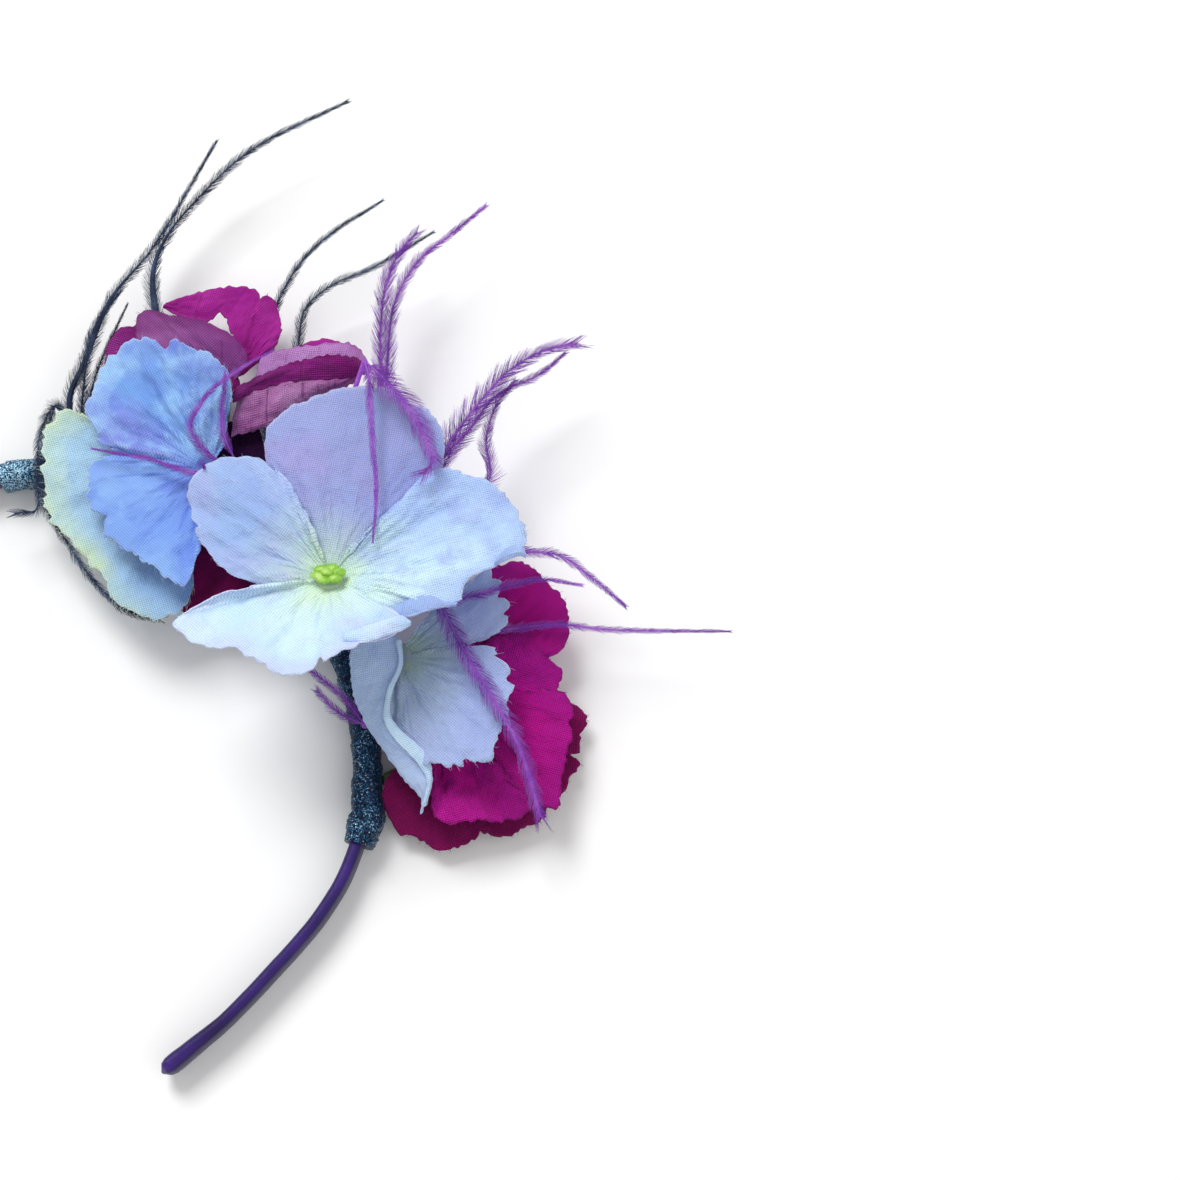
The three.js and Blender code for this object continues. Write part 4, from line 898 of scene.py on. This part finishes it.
def floret_piece(name, floret, seed):
    """All of a floret's petals, folds, edge hairs and hub, each petal a thin closed sheet."""
    hub = np.array(floret["hub"], float)
    heap, slots, petal_uv, cloth_uv, looks = Heap(), [], [], [], []

    def join(points, faces, look, uv, cloth):
        look = look or floret["cloth"]
        if look not in looks:
            looks.append(look)
        heap.join(points, faces)
        slots.extend([looks.index(look)] * len(faces))
        petal_uv.append(uv)
        cloth_uv.append(cloth)

    rows = [{**PETAL, **row, **DRESS.get((name, row["name"]), {})} for row in floret["petals"]]
    rows += [{**PETAL, **row, "fray": 0.12} for row in FOLDS.get(name, [])]
    n, thin = ALONG * ROUND, PETAL_THICK / 2
    top = grid_faces(ALONG, ROUND).tolist()
    bottom = grid_faces(ALONG, ROUND, n)[:, ::-1].tolist()
    ring = [i * ROUND for i in range(ALONG)] + [(ALONG - 1) * ROUND + j for j in range(1, ROUND)]
    ring += [i * ROUND + ROUND - 1 for i in range(ALONG - 2, -1, -1)]
    ring = np.array(ring + list(range(ROUND - 2, 0, -1)))
    after = np.roll(ring, -1)
    rim = np.stack([ring, after, after + n, ring + n], axis=-1).tolist()
    for k, row in enumerate(rows):
        p, normal, *uvs = petal_sheet(row, seed + 20 * k)
        layer = [0, 0, LAYER_STEP * k]
        both = np.vstack([(p + thin * normal).reshape(-1, 3), (p - thin * normal).reshape(-1, 3)])
        join(both + hub + layer, top + rim + bottom, row["look"],
             *(np.tile(uv.reshape(-1, 2), (2, 1)) for uv in uvs))
        if "edge" in row:
            draw = np.random.default_rng(seed + 20 * k + 11)
            many = row["hairs"]
            at = draw.integers(ROUND // 10, ROUND - ROUND // 10, many)
            root = p[-1, at] + hub + layer
            out = unit(p[-1, at] - p[-3, at] + draw.normal(0, 0.12, (many, 3)))
            aside = unit(p[-1, at + 1] - p[-1, at - 1]) * draw.uniform(-0.9, 0.9, (many, 1))
            reach = draw.uniform(0.3, 0.9, many) * (0.5 + row["fray"] * 1.6)
            hair, hair_faces = hairs(root, out, reach, aside, np.zeros((many, 3)), HAIR_RADIUS)
            join(hair, hair_faces, row["look"], np.tile([1.0, 0.5], (len(hair), 1)),
                 np.full((len(hair), 2), STRIP_FROM_HUB / 10))
    disc, disc_faces = hub_points()
    join(floret_frame(floret)(disc), disc_faces, rows[1 % len(rows)]["look"],
         np.tile([0.0, 0.5], (len(disc), 1)), np.zeros((len(disc), 2)))
    return mesh_piece(name + "_petals", np.vstack(heap.points), heap.faces,
                      [LOOKS[k] for k in looks], name + "_floret", slots,
                      {"petal": np.vstack(petal_uv), "cloth": np.vstack(cloth_uv)})


petal_pieces = []
for number, (name, floret) in enumerate(FLORETS.items()):
    piece = floret_piece(name, floret, 100 + 200 * number)
    petal_pieces.append(piece)


# The middle of the main floret

STAMEN_BUD = 1.2
STAMEN_RING = 6
STAMEN_SPREAD = 2.0
STAMEN_RISE = 3.7


def ball(radius, rings=8, sides=12):
    """A closed round bud, its surface a little uneven."""
    a, b = np.meshgrid(np.linspace(0, np.pi, rings + 1)[1:-1], round_turn(sides), indexing="ij")
    v = np.stack([np.sin(a) * np.cos(b), np.sin(a) * np.sin(b), np.cos(a)], axis=-1)
    v = v.reshape(-1, 3)
    v = v * (1 + 0.06 * np.sin(5 * v[:, :1] + 7 * v[:, 1:2]))
    v = np.vstack([v, [[0, 0, 1]], [[0, 0, -1]]]) * radius
    n = len(v)
    faces = grid_faces(rings - 1, sides, 0, True).tolist()
    faces += [[n - 2, (j + 1) % sides, j] for j in range(sides)]
    last = (rings - 2) * sides
    faces += [[n - 1, last + j, last + (j + 1) % sides] for j in range(sides)]
    return v, [f[::-1] for f in faces]


def stamen_look():
    m = Nodes("stamen")
    where = m.place()
    colour = m.ramp(m.noise(where, 700), (0.3, srgb(112, 172, 44)), (0.55, srgb(152, 204, 74)),
                    (0.75, srgb(206, 230, 140)))
    return m.finish(colour, m.bump(m.noise(where, 2600, 2), 0.0003, 0.5), Roughness=0.45)


def stamen_piece():
    place = floret_frame(FLORETS["main"])
    heap = Heap()
    for i in range(STAMEN_RING + 1):
        outer = i < STAMEN_RING
        spot = flat(360 / STAMEN_RING * i + 12) * (STAMEN_SPREAD if outer else 0)
        spot = spot + [0, 0, STAMEN_RISE + (0 if outer else STAMEN_BUD / 2)]
        v, f = ball(STAMEN_BUD * (0.92 + 0.16 * rng.random()))
        heap.join(place(v * [1.25, 0.85, 0.6] + spot * [1.1, 0.75, 1] - [0, 1.2, 0.9]), f)
    return mesh_piece("stamen_buds", np.vstack(heap.points), heap.faces, [stamen_look()],
                      "stamen_cluster")


stamen_piece()

# Feathers

LIFT_MOST = 4
LIFT_OVER = 0.7
FROND_STEPS = 90
BARB_STEP = 0.15
BARB_REACH = 0.95
BARB_RADIUS = 0.055
BARB_FROM = 0.08
# Hairs stand off the shaft by this many degrees at its foot, and less towards its end.
BARB_LEAN, BARB_LEAN_LESS = 36, 12

# Fronds whose hairs stay long to the end.
TUFTED = {("navy_left", 3): 0.7, ("navy_left", 4): 0.9, ("purple_top", 0): 0.4,
          ("purple_right", 0): 0.35, ("purple_right", 3): 0.1, ("purple_low", 0): 0.1,
          ("purple_low", 1): 0.7, ("purple_front", 1): 0.3, ("purple_side", 0): 0.1,
          ("purple_inner", 0): 0.5, ("purple_inner", 1): 0.5}

# Fronds whose shaft is stout near its foot, in mm.
STOUT = {("navy_top", 0): 0.75, ("navy_left", 0): 0.35}

# Fronds whose hairs are long and open, by how much.
OPEN = {("purple_front", 1): 1.6, ("purple_right", 0): 1.25, ("purple_right", 1): 1.25,
        ("purple_low", 1): 1.2, ("purple_low", 0): 1.2, ("purple_right", 2): 1.3}


def feather_look(name, dark, light, glow):
    m = Nodes(name)
    where = m.place()
    fine = m.noise(where, 2500, 2)
    colour = m.ramp(m.add(m.times(m.noise(where, 160), 0.7), m.times(fine, 0.3)),
                    (0.3, dark), (0.5, light), (0.7, glow))
    return m.finish(colour, m.bump(fine, 0.0001, 0.4), Roughness=0.7, Specular_IOR_Level=0.25,
                    Sheen_Weight=0.1, Sheen_Roughness=0.4)


FEATHERS = {
    "navy": feather_look("navy_feather", srgb(20, 30, 54), srgb(38, 54, 86), srgb(78, 96, 128)),
    "purple": feather_look("purple_feather", srgb(98, 36, 150), srgb(146, 72, 192),
                           srgb(182, 116, 214)),
}
clothes = [BVHTree.FromPolygons([tuple(v.co) for v in o.data.vertices],
                                [tuple(p.vertices) for p in o.data.polygons])
           for o in petal_pieces]


def cloth_under(place):
    """The height of the highest cloth close to or under a design place, or None beside it."""
    start = Vector(to_row([place[0], place[1], place[2] + LIFT_MOST]).tolist())
    hits = [tree.ray_cast(start, Vector((0, 0, -1)))[0] for tree in clothes]
    heights = [hit.z / MM - SHIFT[2] for hit in hits if hit is not None]
    return max(heights) if heights else None


def tube(line, radii, sides):
    """A closed tapered tube along a line of places."""
    along = heading(line)
    aside = unit(np.cross([0.03, 0.02, 1.0], along))
    up = np.cross(along, aside)
    turn = round_turn(sides)
    ring = (aside[:, None] * np.cos(turn)[None, :, None] + up[:, None]
            * np.sin(turn)[None, :, None])
    points = (line[:, None] + ring * np.asarray(radii)[:, None, None]).reshape(-1, 3)
    return points, tube_faces(len(line), sides)


def barbs(line, frond, seed):
    """The fine hairs on both sides of a frond's shaft, close and even, longest near its foot."""
    draw = np.random.default_rng(seed)
    along = heading(line)
    run = run_of(line)
    count = int(run[-1] * (1 - BARB_FROM) / BARB_STEP)
    share = np.repeat(np.linspace(BARB_FROM, 0.998, count), 2)
    share = np.clip(share + draw.uniform(-0.3, 0.3, len(share)) / max(count, 1), 0, 1)
    sign = np.tile([1.0, -1.0], count)
    mm = share * run[-1]
    root, ahead, side = (read_off(mm, run, a)
                         for a in (line, along, unit(np.cross([0, 0, 1], along))))
    over = np.cross(ahead, side)
    reach = frond["wide"] * BARB_REACH * np.minimum(1, (share - BARB_FROM) / 0.1 + 0.5)
    clump = 1 + 0.22 * noise1(mm / 1.6 + 20 * (sign > 0), seed + 3)
    reach = reach * (1.04 - share * (1 - frond["tuft"])) ** 0.6 * clump
    reach = reach * draw.uniform(0.82, 1.08, len(share)) * frond["open"]
    lean = BARB_LEAN + 6 * frond["open"] - BARB_LEAN_LESS * share
    lean = lean + 7 * noise1(mm / 1.2, seed + 4) + draw.uniform(-5, 5, len(share))
    lean = np.radians(lean)
    rise = draw.uniform(-0.25, 0.35, len(share))
    out = unit(side * (sign * np.sin(lean))[:, None] + ahead * np.cos(lean)[:, None]
               + over * (rise * np.sin(lean))[:, None])
    droop = over * draw.uniform(-0.1, 0.12, (len(share), 1))
    return hairs(root, out, reach, ahead * 0.3, droop, BARB_RADIUS)


def plume_piece(name, plume, seed):
    """A plume's stalk from the wrapped band to its head, and its fronds from there."""
    heap = Heap()
    head = np.array(plume["head"], float)
    foot = band_at(distance_at(plume["foot"]["at"]))[0]
    foot[2] = plume["foot"]["height"]
    reach = np.linalg.norm(head - foot)
    start = foot + (head - foot) * min(0.9, (BAND_THICK / 2 + WRAP_THICK + 1.2) / reach)
    heap.join(*tube(np.linspace(start, head, 6), np.linspace(0.7, 0.5, 6), 8))
    for k, frond in enumerate(plume["fronds"]):
        frond = {**frond, "tuft": TUFTED.get((name, k), 0.05),
                 "stout": STOUT.get((name, k), 0), "open": OPEN.get((name, k), 1)}
        line = centripetal([head, *frond["through"]], FROND_STEPS)
        if frond.get("over"):
            under = [cloth_under(p) for p in line]
            lifted = [z if h is None else max(z, h + LIFT_OVER)
                      for z, h in zip(line[:, 2], under)]
            smooth = np.convolve(np.pad(lifted, 4, "edge"), np.ones(9) / 9, "valid")
            line[:, 2] = np.maximum(smooth, np.array(lifted) - 0.1)
        share = np.linspace(0, 1, FROND_STEPS)
        stout = frond["stout"] * np.clip((0.6 - share) / 0.25, 0, 1)
        heap.join(*tube(line, 0.05 + 0.085 * frond["wide"] * (1 - share) ** 1.5 + stout, 6))
        heap.join(*barbs(line, frond, seed + k))
    return mesh_piece(name + "_feathers", np.vstack(heap.points), heap.faces,
                      [FEATHERS[plume["dye"]]], name + "_plume")


for number, (name, plume) in enumerate(PLUMES.items()):
    plume_piece(name, plume, 900 + 10 * number)

# Band

# SATIN_TOP is the top face's place round the section in UV cloth, where the painted shade leaves
# the satin lightest.
SATIN_TOP = 0.55
SATIN_TURN_MM = 9


def satin_look():
    m = Nodes("satin")
    where = m.place()
    cloth = m.uv("cloth")
    rib = m.wave(cloth, 16.0, "X", 0.4, 2.0)
    colour = m.ramp(m.noise(where, 60, 2), (0.3, srgb(34, 12, 80)), (0.5, srgb(50, 22, 108)),
                    (0.7, srgb(76, 40, 148)))
    # Painted shade: the satin darkens from the top face of its section towards both edges,
    # lightest on the top face.
    edge = m.times(m.math("ABSOLUTE", m.less(m.split(cloth)[1], SATIN_TOP)), 2.6, clamp=True)
    colour = m.mix(m.times(edge, 0.85), colour, srgb(24, 10, 56))
    ripple = m.bump(m.noise(where, 240), 0.0006, 0.35)
    return m.finish(colour, m.bump(rib, 0.00006, 0.5, ripple), Roughness=0.36,
                    Specular_IOR_Level=0.3)


def band_piece():
    """The ribbon covered band: a soft edged section, with the ribbon's turns just visible."""
    rings, sides = 260, 32
    distance = np.linspace(-band_length / 2, band_length / 2, rings)
    place, out = band_at(distance)
    tip = band_length / 2 - np.abs(distance)
    nose = np.sqrt(1 - (1 - np.clip(tip / TIP_NOSE, 0, 1)) ** 2)
    nose = np.maximum(nose, 0.12)
    turn = round_turn(sides)
    a, b = squarish(turn, 0.55)
    lap = np.mod(distance[:, None] / SATIN_TURN_MM + turn[None] / (2 * np.pi), 1)
    x = a[None] * (half_thick(distance) * nose)[:, None] * (0.97 + 0.03 * lap)
    z = b[None] * (BAND_WIDE / 2 * nose)[:, None] * (0.985 + 0.01 * lap)
    points = place[:, None] + out[:, None] * x[..., None]
    points[..., 2] = BAND_WIDE / 2 + z
    uv = np.stack([np.repeat(distance / 10, sides), np.tile(turn * 0.35, rings)], axis=-1)
    return mesh_piece("satin_ribbon_band", points.reshape(-1, 3), tube_faces(rings, sides),
                      [satin_look()], "satin_band", uvs={"cloth": uv})


band_piece()

# Glitter ribbon

FLAKES = 9000
FLAKE_THICK = 0.1
LAP_MM = 7.5
LAP_RISE, LAP_NOISE, KNOT_NOISE = 0.4, 0.1, 0.3


def glitter_look():
    m = Nodes("glitter_ribbon")
    where = m.place()
    cells = m.node("TexVoronoi", feature="F1")
    cells.inputs["Scale"].default_value = 4300
    m.wire(where, cells.inputs["Vector"])
    tone = m.split(cells.outputs["Color"])
    lit = m.add(m.times(tone[0], 0.6), m.times(m.noise(where, 120), 0.4))
    # Painted highlight: the tone is lifted where object x is below -0.03 m, so the wrap's left
    # end takes the pale, near-white colours.
    lit = m.add(lit, m.above(-0.03, m.split(where)[0], 9.0))
    colour = m.ramp(lit, (0.34, srgb(4, 10, 34)), (0.58, srgb(10, 42, 78)),
                    (0.72, srgb(28, 96, 136)), (0.85, srgb(180, 220, 240)))
    tilt = m.node("VectorMath", operation="SUBTRACT")
    m.wire(cells.outputs["Color"], tilt.inputs[0])
    tilt.inputs[1].default_value = (0.5, 0.5, 0.5)
    scaled = m.node("VectorMath", operation="SCALE")
    scaled.inputs["Scale"].default_value = 0.65
    m.wire(tilt.outputs[0], scaled.inputs[0])
    added = m.node("VectorMath", operation="ADD")
    m.wire(m.node("NewGeometry").outputs["Normal"], added.inputs[0])
    m.wire(scaled.outputs[0], added.inputs[1])
    even = m.node("VectorMath", operation="NORMALIZE")
    m.wire(added.outputs[0], even.inputs[0])
    return m.finish(colour, even.outputs[0], Roughness=0.4, Metallic=0.45,
                    Specular_IOR_Level=0.3)


def wrap_surface(distance, turn):
    """Places on the wound ribbon: turns that overlap, lumps, and the knot at its first end."""
    place, out = band_at(distance)
    angle = CROWN_AIM + np.degrees(distance / CROWN_REACH)
    share = np.clip((angle - WRAP_FROM) / (WRAP_TO - WRAP_FROM), 0, 1)
    knot = np.exp(-(((angle - WRAP_FROM - KNOT_SPREAD) / KNOT_SPREAD) ** 2))
    girth = WRAP_THICK + GAP
    thick = BAND_THICK / 2 + girth + WRAP_BULGE * np.sin(np.pi * share) + KNOT_BULGE / 2 * knot
    wide = BAND_WIDE / 2 + girth
    lap = np.mod(distance / LAP_MM + turn / (2 * np.pi), 1)
    lumps = LAP_NOISE * folded_noise(distance / 2.6 + 60, turn * 1.3 + 8, 77)
    ridge = LAP_RISE * (lap - 0.6) + lumps
    ridge = ridge + KNOT_NOISE * knot * folded_noise(distance / 1.4 + 60, turn * 1.1 + 8, 79)
    a, b = squarish(turn, 0.75)
    x = a * (thick + ridge) + KNOT_BULGE / 2 * knot
    z = b * (wide - 0.15 + np.minimum(ridge, 0.12) * (b < 0) + ridge * (b >= 0))
    p = place + out * x[..., None]
    p[..., 2] = BAND_WIDE / 2 + z
    return p


def glitter_flakes(first):
    """Small flat sided flakes that stand at odd angles on the ribbon."""
    draw = np.random.default_rng(31)
    low_end, high_end = distance_at(WRAP_FROM), distance_at(WRAP_TO)
    d = draw.uniform(low_end + 0.3, high_end - 0.3, FLAKES)
    turn = draw.uniform(0, 2 * np.pi, FLAKES)
    p = wrap_surface(d, turn)
    e1 = unit(wrap_surface(d + 0.05, turn) - p)
    e2 = unit(wrap_surface(d, turn + 0.02) - p)
    normal = unit(np.cross(e1, e2))
    centre = band_at(d)[0]
    centre[:, 2] = BAND_WIDE / 2
    normal = normal * np.sign(np.einsum("ij,ij->i", normal, p - centre))[:, None]
    normal = unit(normal + draw.normal(0, 0.45, (FLAKES, 3)))
    aside = unit(np.cross(normal, draw.normal(0, 1, (FLAKES, 3))))
    ahead = np.cross(normal, aside)
    size = draw.uniform(0.08, 0.17, FLAKES)
    corners = []
    for lift in (FLAKE_THICK / 2, -FLAKE_THICK / 2):
        for a in round_turn(3):
            corners.append(p + normal * lift + (aside * math.cos(a) + ahead * math.sin(a))
                           * size[:, None])
    points = np.stack(corners, axis=1).reshape(-1, 3)
    points[:, 2] = np.maximum(points[:, 2], -(WRAP_THICK + GAP))
    one = [[0, 1, 2], [5, 4, 3], [0, 3, 4, 1], [1, 4, 5, 2], [2, 5, 3, 0]]
    faces = [[first + 6 * k + v for v in face] for k in range(FLAKES) for face in one]
    return points, faces


def wrap_piece():
    """The wound ribbon, hollow round the band and closed at its ends, with its flakes."""
    rings, sides = 420, 44
    low_end, high_end = distance_at(WRAP_FROM), distance_at(WRAP_TO)
    d, turn = np.meshgrid(np.linspace(low_end, high_end, rings), round_turn(sides),
                          indexing="ij")
    outer = wrap_surface(d, turn)
    place, out = band_at(d)
    a, b = squarish(turn, 0.55)
    inner = place + out * (a * (BAND_THICK / 2 + 0.2))[..., None]
    inner[..., 2] = BAND_WIDE / 2 + b * (BAND_WIDE / 2 + 0.2)
    points = np.vstack([outer.reshape(-1, 3), inner.reshape(-1, 3)])
    shift = rings * sides
    faces = grid_faces(rings, sides, 0, True).tolist()
    faces += grid_faces(rings, sides, shift, True)[:, ::-1].tolist()
    for first, step in ((0, 1), ((rings - 1) * sides, -1)):
        for j in range(sides):
            k = (j + 1) % sides
            faces.append([first + j, first + j + shift, first + k + shift, first + k][::step])
    flakes, flake_faces = glitter_flakes(len(points))
    return mesh_piece("glitter_ribbon_wrap", np.vstack([points, flakes]), faces + flake_faces,
                      [glitter_look()], "glitter_wrap", smooth=False)


wrap_piece()


def stem_look():
    m = Nodes("stem")
    where = m.place()
    colour = m.ramp(m.noise(where, 400), (0.3, srgb(70, 96, 58)), (0.7, srgb(120, 150, 96)))
    return m.finish(colour, m.bump(m.noise(where, 1500, 2), 0.0002, 0.5), Roughness=0.7)


green = stem_look()
for name in FLORETS:
    stem = bpy.data.objects[name + "_stem"]
    for slot in stem.material_slots:
        slot.material = green

# Stage, lights and camera

TILT = math.radians(13)
AIM = np.array([111.09, 39.06, 4.0])
DISTANCE = 585.0
ahead = np.array([0, math.sin(TILT), -math.cos(TILT)])


def floor_look():
    m = Nodes("floor")
    return m.finish(m.mix(m.noise(m.place(), 8, 2), (0.93, 0.93, 0.93), (0.96, 0.96, 0.96)),
                    None, Roughness=0.9)


bpy.ops.mesh.primitive_plane_add(size=6, location=(0, 0, 0))
floor = bpy.context.object
floor.name = "floor"
floor.data.materials.append(floor_look())


def put(obj, place, direction):
    """Puts a light or the camera at a place, facing a direction."""
    obj.location = place
    obj.rotation_mode = "QUATERNION"
    obj.rotation_quaternion = Vector(direction).to_track_quat("-Z", "Y")
    bpy.context.scene.collection.objects.link(obj)


def area_light(name, place, size, power):
    light = bpy.data.lights.new(name, "AREA")
    light.size = size
    light.energy = power
    put(bpy.data.objects.new(name, light), place, -Vector(place))


area_light("key", (-0.8, 1.7, 2.5), 1.3, 66)
area_light("fill", (1.8, -0.8, 3.0), 3.6, 26)
world = bpy.data.worlds.new("studio")
bpy.context.scene.world = world
world.use_nodes = True
world.node_tree.nodes["Background"].inputs[0].default_value = (1, 1, 1, 1)
world.node_tree.nodes["Background"].inputs[1].default_value = 0.5

camera = bpy.data.cameras.new("camera")
camera.lens = 85
camera.sensor_width = 36
camera_object = bpy.data.objects.new("camera", camera)
put(camera_object, to_row(AIM - DISTANCE * ahead), ahead)
bpy.context.scene.camera = camera_object
bpy.context.scene.view_settings.view_transform = "Standard"
